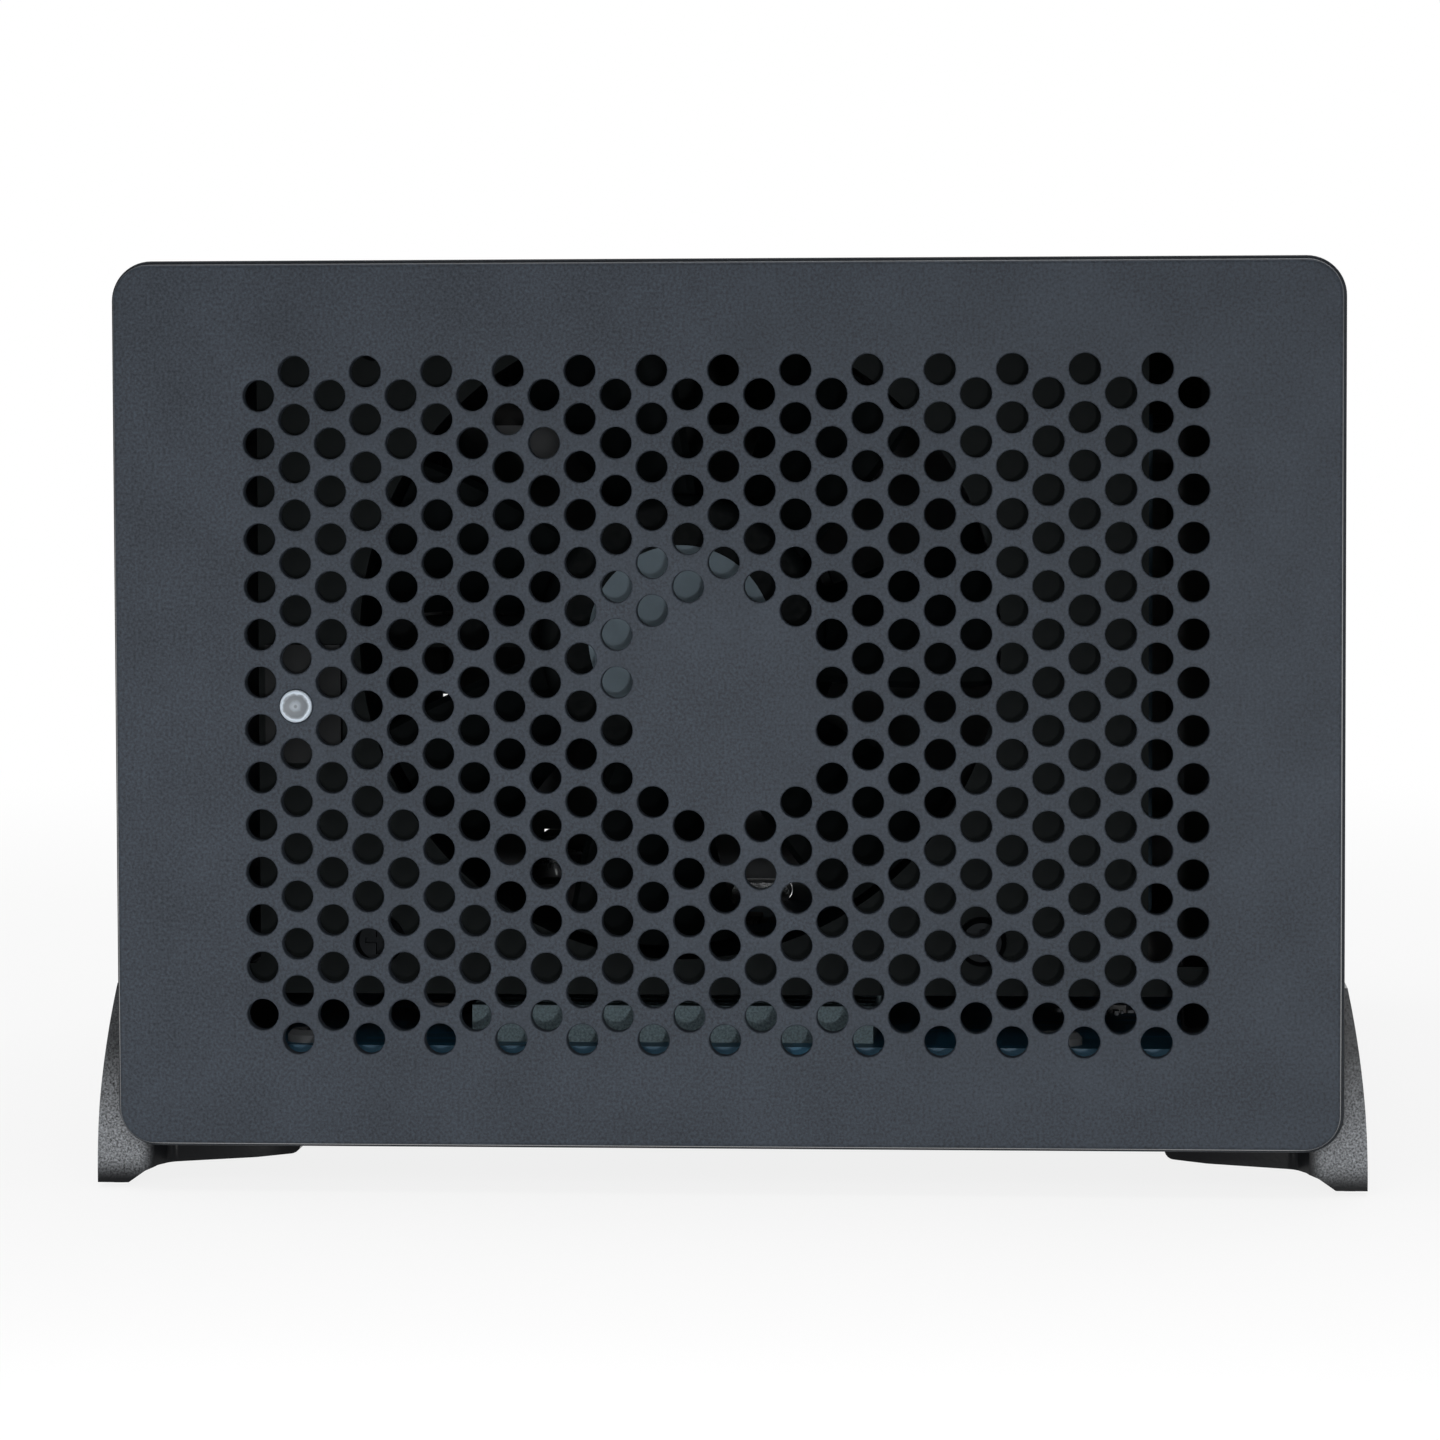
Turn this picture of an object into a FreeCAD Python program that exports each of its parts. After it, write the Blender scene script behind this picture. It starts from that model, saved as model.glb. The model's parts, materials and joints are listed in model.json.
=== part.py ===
import FreeCAD, Part
import math
import os

import Sketcher

# Driving dimensions in millimetres. X runs left to right seen from the front, the front faces -Y,
# Z is up, and the origin is on the floor under the middle of the chassis.
SIZES = {
    # sleeve and front panel
    "case_width": 144.5,
    "case_height": 104.5,
    "case_corner": 4.7,
    "sleeve_wall": 1.6,
    "sleeve_depth": 214.0,
    "panel_thick": 2.0,
    "panel_inset": 0.45,
    "panel_edge": 0.6,
    "flange_height": 9.5,
    "flange_margin": 7.0,
    "stud_radius": 1.5,
    "stud_length": 4.5,
    "stud_from_side": 12.0,
    "stud_from_edge": 5.6,
    "nut_across": 5.5,
    "nut_height": 2.4,
    # perforation of the front panel
    "vent_hole": 3.7,
    "vent_column_pitch": 4.2,
    "vent_row_pitch": 5.6,
    "vent_side_margin": 15.0,
    "vent_end_margin": 10.0,
    # status lens and its light
    "lens_radius": 1.9,
    "lens_proud": 0.4,
    "lens_tail": 1.0,
    "light_board_width": 9.0,
    "light_board_height": 14.0,
    "light_height": 1.2,
    # feet
    "foot_length": 28.0,
    "foot_setback": 3.0,
    "foot_drop": 4.6,
    "foot_rise": 19.1,
    "foot_splay": 2.8,
    "foot_lip": 0.45,
    "foot_bow": 140.0,
    "foot_sole": 3.7,
    "foot_block": 6.8,
    "foot_reach": 20.8,
    "foot_arm_root": 2.6,
    "foot_arm_tip": 1.6,
    "foot_arm_setback": 3.0,
    "foot_taper": 5.0,
    "pad_width": 2.2,
    "pad_length": 20.0,
    "pad_recess": 0.6,
    "pad_proud": 0.6,
    "foot_screw_radius": 1.2,
    "foot_screw_inset": 13.0,
    "foot_screw_spacing": 12.0,
    "foot_screw_seat": 1.0,
    # tray
    "tray_sheet": 1.2,
    "tray_side_gap": 0.5,
    "tray_floor_gap": 0.3,
    "tray_setback": 5.0,
    "tray_lip": 12.0,
    "tray_bend": 2.0,
    "rear_recess": 12.5,
    "rear_vent_width": 3.0,
    "rear_vent_height": 9.0,
    "rear_vent_pitch": 6.0,
    "rear_vent_drop": 6.0,
    "gauze_sheet": 0.6,
    "gauze_margin": 1.6,
    "leg_width": 8.5,
    "leg_foot": 11.0,
    "bridge_clear": 6.2,
    # card slots and their covers
    "card_pitch": 20.32,
    "card_drop": 57.1,
    "card_offset": 5.6,
    "shelf_from_side": 12.65,
    "cover_width": 18.4,
    "cover_past_riser": 12.1,
    "cover_sheet": 0.9,
    "cover_tab": 11.0,
    "cover_tongue": 10.2,
    "cover_window": 14.0,
    # boards
    "board_thick": 1.6,
    "board_height": 6.8,
    "board_left_gap": 15.15,
    "board_right_gap": 16.25,
    "standoff_radius": 2.75,
    "screw_radius": 1.45,
    "riser_from_side": 20.65,
    "riser_drop": 17.8,
    "riser_margin": 8.0,
    "riser_spacer": 3.0,
    "slot_from_wall": 47.0,
    "slot_length": 56.0,
    "slot_width": 7.6,
    "slot_height": 11.25,
    "socket_width": 7.0,
    "socket_height": 8.5,
    "chip_height": 1.0,
    "spreader_width": 48.0,
    "spreader_length": 28.0,
    "spreader_height": 3.4,
    "spreader_shift": 1.3,
    "rib_pitch": 4.0,
    "capacitor_radius": 4.0,
    # ports on the rear wall
    "port_spacing": 16.0,
    "port_width": 8.94,
    "port_height": 3.26,
    "port_depth": 8.4,
    "inlet_from_edge": 17.0,
    "inlet_width": 9.0,
    "inlet_height": 11.0,
    "inlet_depth": 14.2,
    # fan
    "fan_clear_below": 8.4,
    "fan_clear_above": 3.0,
    "fan_depth": 25.0,
    "fan_rim": 2.0,
    "fan_duct_wall": 1.6,
    "fan_screw_inset": 4.25,
    "fan_x": 5.8,
    "fan_flange": 3.8,
    "motor_base_thick": 3.4,
    "motor_base_margin": 1.0,
    "hub_recess": 1.5,
    "hub_radius": 17.0,
    "hub_length": 18.0,
    "hub_wall": 1.5,
    "blade_count": 7,
    "blade_thick": 1.2,
    "blade_tip_gap": 0.7,
    "blade_root_chord": 14.0,
    "blade_root_pitch": 52.0,
    "blade_middle_chord": 20.0,
    "blade_middle_pitch": 40.0,
    "blade_middle_sweep": 2.0,
    "blade_tip_chord": 26.0,
    "blade_tip_pitch": 30.0,
    "blade_tip_sweep": 6.0,
    "shaft_radius": 1.5,
    "bearing_radius": 3.5,
    "bearing_floor": 1.0,
    "label_radius": 11.0,
    "label_thick": 0.2,
    # thumbscrews and the brackets they thread into
    "thumb_from_side": 8.75,
    "thumb_share": 0.275,
    "thumb_head": 4.2,
    "thumb_head_length": 8.1,
    "thumb_shank": 1.5,
    "thumb_shank_length": 6.0,
    "thumb_bracket_height": 13.0,
    "thumb_bracket_reach": 13.0,
    # clearances
    "running_gap": 0.03,
    "thread_gap": 0.05,
    "hole_gap": 0.3,
    "fit_gap": 0.1,
}

DOC = FreeCAD.newDocument("expansion_chassis")
SHEET = DOC.addObject("Spreadsheet::Sheet", "sizes")
for row, (alias, number) in enumerate(SIZES.items(), start=1):
    SHEET.set("A%d" % row, alias)
    SHEET.set("B%d" % row, str(number))
    SHEET.setAlias("B%d" % row, alias)
DOC.recompute()

NODES = []


class Size:
    """A number together with the sheet expression that gives it."""

    def __init__(self, number, text):
        self.number = number
        self.text = text

    def __add__(self, other):
        other = as_size(other)
        return Size(self.number + other.number, "(%s + %s)" % (self.text, other.text))

    def __radd__(self, other):
        return as_size(other) + self

    def __sub__(self, other):
        other = as_size(other)
        return Size(self.number - other.number, "(%s - %s)" % (self.text, other.text))

    def __rsub__(self, other):
        return as_size(other) - self

    def __mul__(self, factor):
        factor = as_size(factor)
        return Size(self.number * factor.number, "(%s * %s)" % (self.text, factor.text))

    def __rmul__(self, factor):
        return self * factor

    def __truediv__(self, other):
        other = as_size(other)
        return Size(self.number / other.number, "(%s / %s)" % (self.text, other.text))

    def __neg__(self):
        return self * -1


def as_size(value):
    if isinstance(value, Size):
        return value
    return Size(float(value), "(%r)" % float(value))


def sheet_size(alias):
    return Size(float(SHEET.get(alias)), "sizes." + alias)


def bind(target, name, value):
    """Bind one property of an object to the sheet."""
    target.setExpression(name, as_size(value).text)


def vector(x, y, z=0.0):
    return FreeCAD.Vector(as_size(x).number, as_size(y).number, as_size(z).number)


# Sketches and features

def new_body(label):
    body = DOC.addObject("PartDesign::Body", label)
    body.Label = label
    return body


def place_body(body, x, y, z):
    for axis, value in (("x", x), ("y", y), ("z", z)):
        bind(body, "Placement.Base." + axis, value)


def origin_feature(body, role):
    return next(feature for feature in body.Origin.OriginFeatures if feature.Role == role)


def constrain(sketch, kind, *arguments):
    """Add a constraint; a last argument that is a Size binds it to the sheet."""
    if isinstance(arguments[-1], Size):
        value = arguments[-1]
        index = sketch.addConstraint(Sketcher.Constraint(kind, *arguments[:-1], value.number))
        sketch.setExpression("Constraints[%d]" % index, value.text)
    else:
        sketch.addConstraint(Sketcher.Constraint(kind, *arguments))


def hold_point(sketch, geometry, position, x, y):
    constrain(sketch, "DistanceX", geometry, position, as_size(x))
    constrain(sketch, "DistanceY", geometry, position, as_size(y))


def arc_about(centre, first, last):
    """Counterclockwise arc about a centre, from one point to another."""
    spoke = first - centre
    start = math.atan2(spoke.y, spoke.x)
    other = last - centre
    sweep = (math.atan2(other.y, other.x) - start) % (2 * math.pi)
    whole = Part.Circle(centre, FreeCAD.Vector(0, 0, 1), spoke.Length)
    return Part.ArcOfCircle(whole, start, start + sweep)


def bowed_arc(start, end, radius):
    """Arc from start to end that bows to the left of that direction, drawn from its end."""
    half = (end - start) * 0.5
    right = FreeCAD.Vector(half.y, -half.x, 0).normalize()
    centre = start + half + right * math.sqrt(radius ** 2 - half.Length ** 2)
    return arc_about(centre, end, start)


def corner_fillet(before, corner, after, radius):
    """Fillet of a corner: where it leaves the side before, where it joins the side after, and its centre."""
    back = (before - corner).normalize()
    ahead = (after - corner).normalize()
    half_angle = back.getAngle(ahead) / 2
    run = radius / math.tan(half_angle)
    centre = corner + (back + ahead).normalize() * (radius / math.sin(half_angle))
    return corner + back * run, corner + ahead * run, centre


def turns_left(before, corner, after):
    return (corner - before).cross(after - corner).z > 0


def draw_outline(sketch, corners, bows):
    """Closed outline through (x, y) or (x, y, fillet radius); bows maps a side's index to its arc radius."""
    count = len(corners)
    points = [vector(corner[0], corner[1]) for corner in corners]
    starts = list(points)
    ends = list(points)
    fillets = {}
    for index, corner in enumerate(corners):
        if len(corner) < 3:
            continue
        trio = (points[index - 1], points[index], points[(index + 1) % count])
        ends[index], starts[index], centre = corner_fillet(*trio, as_size(corner[2]).number)
        left = turns_left(*trio)
        span = (ends[index], starts[index]) if left else (starts[index], ends[index])
        fillets[index] = (arc_about(centre, *span), 1 if left else 2)
    sides = []
    for index in range(count):
        start = starts[index]
        end = ends[(index + 1) % count]
        if index in bows:
            number = sketch.addGeometry(bowed_arc(start, end, bows[index].number))
            sides.append((number, 2, 1))
            constrain(sketch, "Radius", number, bows[index])
        else:
            number = sketch.addGeometry(Part.LineSegment(start, end))
            sides.append((number, 1, 2))
    for index, corner in enumerate(corners):
        before = sides[index - 1]
        after = sides[index]
        if index not in fillets:
            constrain(sketch, "Coincident", before[0], before[2], after[0], after[1])
            hold_point(sketch, after[0], after[1], corner[0], corner[1])
            continue
        arc, first = fillets[index]
        number = sketch.addGeometry(arc)
        constrain(sketch, "Tangent", before[0], before[2], number, first)
        constrain(sketch, "Tangent", number, 3 - first, after[0], after[1])
        constrain(sketch, "Radius", number, as_size(corner[2]))
        point = sketch.addGeometry(Part.Point(points[index]), True)
        constrain(sketch, "PointOnObject", point, 1, before[0])
        constrain(sketch, "PointOnObject", point, 1, after[0])
        hold_point(sketch, point, 1, corner[0], corner[1])


def draw_circle(sketch, x, y, radius):
    number = sketch.addGeometry(Part.Circle(vector(x, y), FreeCAD.Vector(0, 0, 1), as_size(radius).number))
    hold_point(sketch, number, 3, x, y)
    constrain(sketch, "Radius", number, as_size(radius))


def circle(x, y, radius):
    return {"circle": (x, y, radius)}


def outline(corners, bows=None):
    return {"outline": corners, "bows": bows or {}}


def box(left, low, right, high, corner=None):
    spots = [(left, low), (right, low), (right, high), (left, high)]
    if corner is not None:
        spots = [spot + (corner,) for spot in spots]
    return outline(spots)


def middle_box(x, y, width, height, corner=None):
    return box(x - width / 2, y - height / 2, x + width / 2, y + height / 2, corner)


def new_sketch(body, name, plane, place, loops):
    """Sketch on an XY, XZ or YZ plane moved to a place along the third axis."""
    sketch = body.newObject("Sketcher::SketchObject", name + "_sketch")
    sketch.AttachmentSupport = [(origin_feature(body, plane + "_Plane"), "")]
    sketch.MapMode = "FlatFace"
    normal = -1 if plane == "XZ" else 1
    bind(sketch, "AttachmentOffset.Base.z", as_size(place) * normal)
    for loop in loops:
        if "circle" in loop:
            draw_circle(sketch, *loop["circle"])
        else:
            draw_outline(sketch, loop["outline"], loop["bows"])
    return sketch


def add(body, name, plane, low, high, *loops):
    """Pad loops between two places along the axis that their plane is square to."""
    place = high if plane == "XZ" else low
    pad = body.newObject("PartDesign::Pad", name)
    pad.Profile = new_sketch(body, name, plane, place, loops)
    bind(pad, "Length", as_size(high) - low)
    body.Tip = pad
    DOC.recompute()
    return pad


def cut(body, name, plane, low, high, *loops):
    """Pocket loops between two places along the axis that their plane is square to."""
    place = low if plane == "XZ" else high
    pocket = body.newObject("PartDesign::Pocket", name)
    pocket.Profile = new_sketch(body, name, plane, place, loops)
    bind(pocket, "Length", as_size(high) - low)
    body.Tip = pocket
    DOC.recompute()
    return pocket


def turn(body, name, corners):
    """Revolve a profile of (radius, height) corners about the body's Y axis."""
    feature = body.newObject("PartDesign::Revolution", name)
    sketch = new_sketch(body, name, "XY", 0, [outline(corners)])
    feature.Profile = sketch
    feature.ReferenceAxis = (sketch, ["V_Axis"])
    feature.Angle = 360
    body.Tip = feature
    DOC.recompute()
    return feature


def ring_of(body, name, feature, count):
    """Repeat a feature round the body's Y axis."""
    pattern = body.newObject("PartDesign::PolarPattern", name)
    pattern.Originals = [feature]
    pattern.Axis = (origin_feature(body, "Y_Axis"), [""])
    pattern.Angle = 360
    bind(pattern, "Occurrences", count)
    body.Tip = pattern
    DOC.recompute()
    return pattern


def row_of(body, name, feature, axis, spacing, count):
    """Repeat a feature along one of the body's axes."""
    pattern = body.newObject("PartDesign::LinearPattern", name)
    pattern.Originals = [feature]
    pattern.Direction = (origin_feature(body, axis + "_Axis"), [""])
    pattern.Mode = "Spacing"
    bind(pattern, "Offset", spacing)
    pattern.Occurrences = count
    body.Tip = pattern
    DOC.recompute()
    return pattern


def round_edges(body, name, radius, wanted):
    """Fillet those edges of the body's last feature that a test picks."""
    base = body.Tip
    edges = base.Shape.Edges
    names = ["Edge%d" % (index + 1) for index, edge in enumerate(edges) if wanted(edge)]
    fillet = body.newObject("PartDesign::Fillet", name)
    fillet.Base = (base, names)
    bind(fillet, "Radius", radius)
    body.Tip = fillet
    DOC.recompute()
    return fillet


def lies_at(edge, axis, value):
    """True where every point of an edge has one coordinate at a value."""
    near = 1e-4
    box_of_edge = edge.BoundBox
    low = getattr(box_of_edge, axis + "Min")
    high = getattr(box_of_edge, axis + "Max")
    return abs(low - value) < near and abs(high - value) < near


def node(thing):
    """Count an object among the pieces that are written out."""
    NODES.append(thing)
    return thing


def mirrored(label, source, normal):
    """Mirror image of a piece through the origin."""
    image = DOC.addObject("Part::Mirroring", label)
    image.Label = label
    image.Source = source
    image.Normal = normal
    image.Base = FreeCAD.Vector(0, 0, 0)
    DOC.recompute()
    return node(image)


def group(label, solids):
    """One node of separate like solids."""
    feature = DOC.addObject("Part::Feature", label)
    feature.Label = label
    feature.Shape = Part.makeCompound(solids)
    return node(feature)


def pan_screw(tip, direction, head_radius, head_height, radius, length):
    """Screw with a chamfered head and a cross recess; tip is where the head meets its seat."""
    rim = head_height * 0.4
    profile = [(0, -length), (radius, -length), (radius, 0), (head_radius, 0)]
    profile += [(head_radius, head_height - rim), (head_radius - rim, head_height), (0, head_height)]
    wire = Part.makePolygon([FreeCAD.Vector(x, 0, z) for x, z in profile + profile[:1]])
    screw = Part.Face(wire).revolve(FreeCAD.Vector(0, 0, 0), FreeCAD.Vector(0, 0, 1), 360)
    bar = head_radius * 1.1
    slit = head_radius * 0.24
    depth = head_height * 0.6
    for width, breadth in ((bar, slit), (slit, bar)):
        corner = FreeCAD.Vector(-width / 2, -breadth / 2, head_height - depth)
        screw = screw.cut(Part.makeBox(width, breadth, head_height, corner))
    screw.Placement = FreeCAD.Placement(tip, FreeCAD.Rotation(FreeCAD.Vector(0, 0, 1), direction))
    return screw


# Sizes and places that several pieces share

case_width = sheet_size("case_width")
case_height = sheet_size("case_height")
case_corner = sheet_size("case_corner")
sleeve_wall = sheet_size("sleeve_wall")
panel_thick = sheet_size("panel_thick")
lens_proud = sheet_size("lens_proud")
hole_gap = sheet_size("hole_gap")
fit_gap = sheet_size("fit_gap")
tray_sheet = sheet_size("tray_sheet")
screw_radius = sheet_size("screw_radius")

half_width = case_width / 2
case_bottom = sheet_size("foot_drop") + sheet_size("pad_proud")
case_top = case_bottom + case_height
case_middle = case_bottom + case_height / 2
inner_side = half_width - sleeve_wall
inner_bottom = case_bottom + sleeve_wall
inner_top = case_top - sleeve_wall

sleeve_depth = sheet_size("sleeve_depth")
face = (lens_proud - panel_thick - sleeve_depth) / 2
sleeve_front = face + panel_thick
sleeve_rear = sleeve_front + sleeve_depth
flange_back = sleeve_front + sleeve_wall
stud_x = half_width - sheet_size("stud_from_side")
stud_low = case_bottom + sheet_size("stud_from_edge")
stud_high = case_top - sheet_size("stud_from_edge")
stud_spots = [(-stud_x, stud_low), (stud_x, stud_low), (stud_x, stud_high), (-stud_x, stud_high)]

tray_bottom = inner_bottom + sheet_size("tray_floor_gap")
tray_floor = tray_bottom + tray_sheet
tray_half = inner_side - sheet_size("tray_side_gap")
tray_front = sleeve_front + sheet_size("tray_setback")
wall_out = sleeve_rear - sheet_size("rear_recess")
wall_in = wall_out - tray_sheet
wall_top = inner_top - sheet_size("tray_side_gap")

thumb_x = half_width - sheet_size("thumb_from_side")
thumb_z = case_bottom + case_height * sheet_size("thumb_share")

board_low = tray_floor + sheet_size("board_height")
board_top = board_low + sheet_size("board_thick")
board_left = sheet_size("board_left_gap") - tray_half
board_right = tray_half - sheet_size("board_right_gap")
inlet_x = board_left + sheet_size("inlet_from_edge")

fan_top = inner_top - sheet_size("fan_clear_above")
fan_low = board_top + sheet_size("fan_clear_below")
fan_size = fan_top - fan_low
fan_bore = fan_size / 2 - sheet_size("fan_rim")
fan_hole = fan_size / 2 - sheet_size("fan_screw_inset")
fan_x = -sheet_size("fan_x")
fan_z = (fan_top + fan_low) / 2
fan_front = tray_front + tray_sheet

riser_x = tray_half - sheet_size("riser_from_side")
riser_back = riser_x + sheet_size("board_thick")
riser_top = case_top - sheet_size("riser_drop")
shelf_x = sheet_size("shelf_from_side") - tray_half
card_pitch = sheet_size("card_pitch")
card_low = case_top - sheet_size("card_drop")
cover_low = card_low + sheet_size("card_offset")
cover_width = sheet_size("cover_width")
cover_screw_y = wall_out + sheet_size("cover_tab") / 2


def vent_grid():
    """Whole columns and half rows of holes that fit the panel, counted from its middle."""
    radius = sheet_size("vent_hole").number / 2
    panel_half = half_width.number - sheet_size("panel_inset").number
    panel_rise = case_height.number / 2 - sheet_size("panel_inset").number
    columns = (panel_half - sheet_size("vent_side_margin").number - radius) / VENT_COLUMN
    rows = (panel_rise - sheet_size("vent_end_margin").number - radius) / VENT_HALF_ROW
    return int(columns), int(rows)


VENT_COLUMN = sheet_size("vent_column_pitch").number
VENT_HALF_ROW = sheet_size("vent_row_pitch").number / 2
VENT_COLUMNS, VENT_ROWS = vent_grid()
LENS_COLUMN = 1 - VENT_COLUMNS
BLANK_COLUMNS = 2
BLANK_REACH = 4
lens_x = sheet_size("vent_column_pitch") * LENS_COLUMN


# Sleeve and front panel

def make_front_panel():
    """Plate with rounded rim, studs behind, a lens hole and the staggered holes round a bare hexagon."""
    inset = sheet_size("panel_inset")
    blank = new_body("front_panel_blank")
    side = half_width - inset
    plate = box(-side, case_bottom + inset, side, case_top - inset, case_corner - inset)
    add(blank, "plate", "XZ", face, sleeve_front, plate)
    round_edges(blank, "plate_rim", sheet_size("panel_edge"), lambda edge: lies_at(edge, "Y", face.number))
    studs = [circle(x, z, sheet_size("stud_radius")) for x, z in stud_spots]
    add(blank, "studs", "XZ", sleeve_front, sleeve_front + sheet_size("stud_length"), *studs)
    lens_hole = circle(lens_x, case_middle, sheet_size("lens_radius") + fit_gap / 2)
    cut(blank, "lens_hole", "XZ", face, sleeve_front, lens_hole)

    drills = DOC.addObject("Part::Feature", "vent_drills")
    radius = sheet_size("vent_hole").number / 2
    forward = FreeCAD.Vector(0, 1, 0)
    holes = []
    for column in range(-VENT_COLUMNS, VENT_COLUMNS + 1):
        for row in range(-VENT_ROWS, VENT_ROWS + 1):
            staggered = (column + row) % 2 == 1
            bare = abs(column) <= BLANK_COLUMNS and abs(column) + abs(row) <= BLANK_REACH
            lens = column == LENS_COLUMN and row == 0
            if staggered or bare or lens:
                continue
            start = vector(column * VENT_COLUMN, face - panel_thick, case_middle + row * VENT_HALF_ROW)
            holes.append(Part.makeCylinder(radius, 3 * panel_thick.number, start, forward))
    drills.Shape = Part.makeCompound(holes)

    panel = DOC.addObject("Part::Cut", "front_panel")
    panel.Base = blank
    panel.Tool = drills
    panel.Label = "front_panel"
    DOC.recompute()
    node(panel)


def make_outer_sleeve():
    """Wrapped sheet with return flanges along the top and bottom front edges."""
    sleeve = node(new_body("outer_sleeve"))
    outside = box(-half_width, case_bottom, half_width, case_top, case_corner)
    inside = box(-inner_side, inner_bottom, inner_side, inner_top, case_corner - sleeve_wall)
    add(sleeve, "tube", "XZ", sleeve_front, sleeve_rear, outside, inside)
    end = half_width - sheet_size("flange_margin")
    height = sheet_size("flange_height")
    low = box(-end, inner_bottom - sleeve_wall / 2, end, case_bottom + height)
    high = box(-end, case_top - height, end, inner_top + sleeve_wall / 2)
    add(sleeve, "flanges", "XZ", sleeve_front, flange_back, low, high)
    holes = [circle(x, z, sheet_size("stud_radius") + hole_gap) for x, z in stud_spots]
    cut(sleeve, "stud_holes", "XZ", sleeve_front, flange_back, *holes)
    taps = [circle(x, y, sheet_size("foot_screw_radius") + fit_gap / 2) for x, y in foot_screw_spots()]
    cut(sleeve, "foot_screw_holes", "XY", case_bottom, inner_bottom, *taps)


def make_panel_nuts():
    """Hexagon nuts on the panel's studs, tight against the sleeve's flanges."""
    across = sheet_size("nut_across").number
    height = sheet_size("nut_height").number
    bore = sheet_size("stud_radius").number + fit_gap.number / 2
    forward = FreeCAD.Vector(0, 1, 0)
    nuts = []
    for x, z in stud_spots:
        centre = vector(x, flange_back, z)
        corners = []
        for step in range(7):
            turned = FreeCAD.Rotation(forward, 60 * step)
            corners.append(centre + turned.multVec(FreeCAD.Vector(0, 0, across / math.sqrt(3))))
        prism = Part.Face(Part.makePolygon(corners)).extrude(forward * height)
        nuts.append(prism.cut(Part.makeCylinder(bore, height, centre, forward)))
    group("panel_nuts", nuts)


def make_status_lens():
    """Small domed light pipe pressed into the panel."""
    lens = node(new_body("status_lens"))
    radius = sheet_size("lens_radius")
    length = panel_thick + sheet_size("lens_tail")
    dome = lens_proud + lens_proud
    profile = [(0, -lens_proud), (radius - dome, -lens_proud), (radius, 0), (radius, length), (0, length)]
    turn(lens, "light_pipe", profile)
    place_body(lens, lens_x, face, case_middle)


def foot_screw_spots():
    """Where the foot screws stand, for all four feet."""
    x = half_width - sheet_size("foot_screw_inset")
    middle = sheet_size("foot_setback") + sheet_size("foot_length") / 2
    half = sheet_size("foot_screw_spacing") / 2
    spots = []
    for y in (face + middle - half, face + middle + half):
        for along in (y, -y):
            spots += [(-x, along), (x, along)]
    return spots


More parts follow.
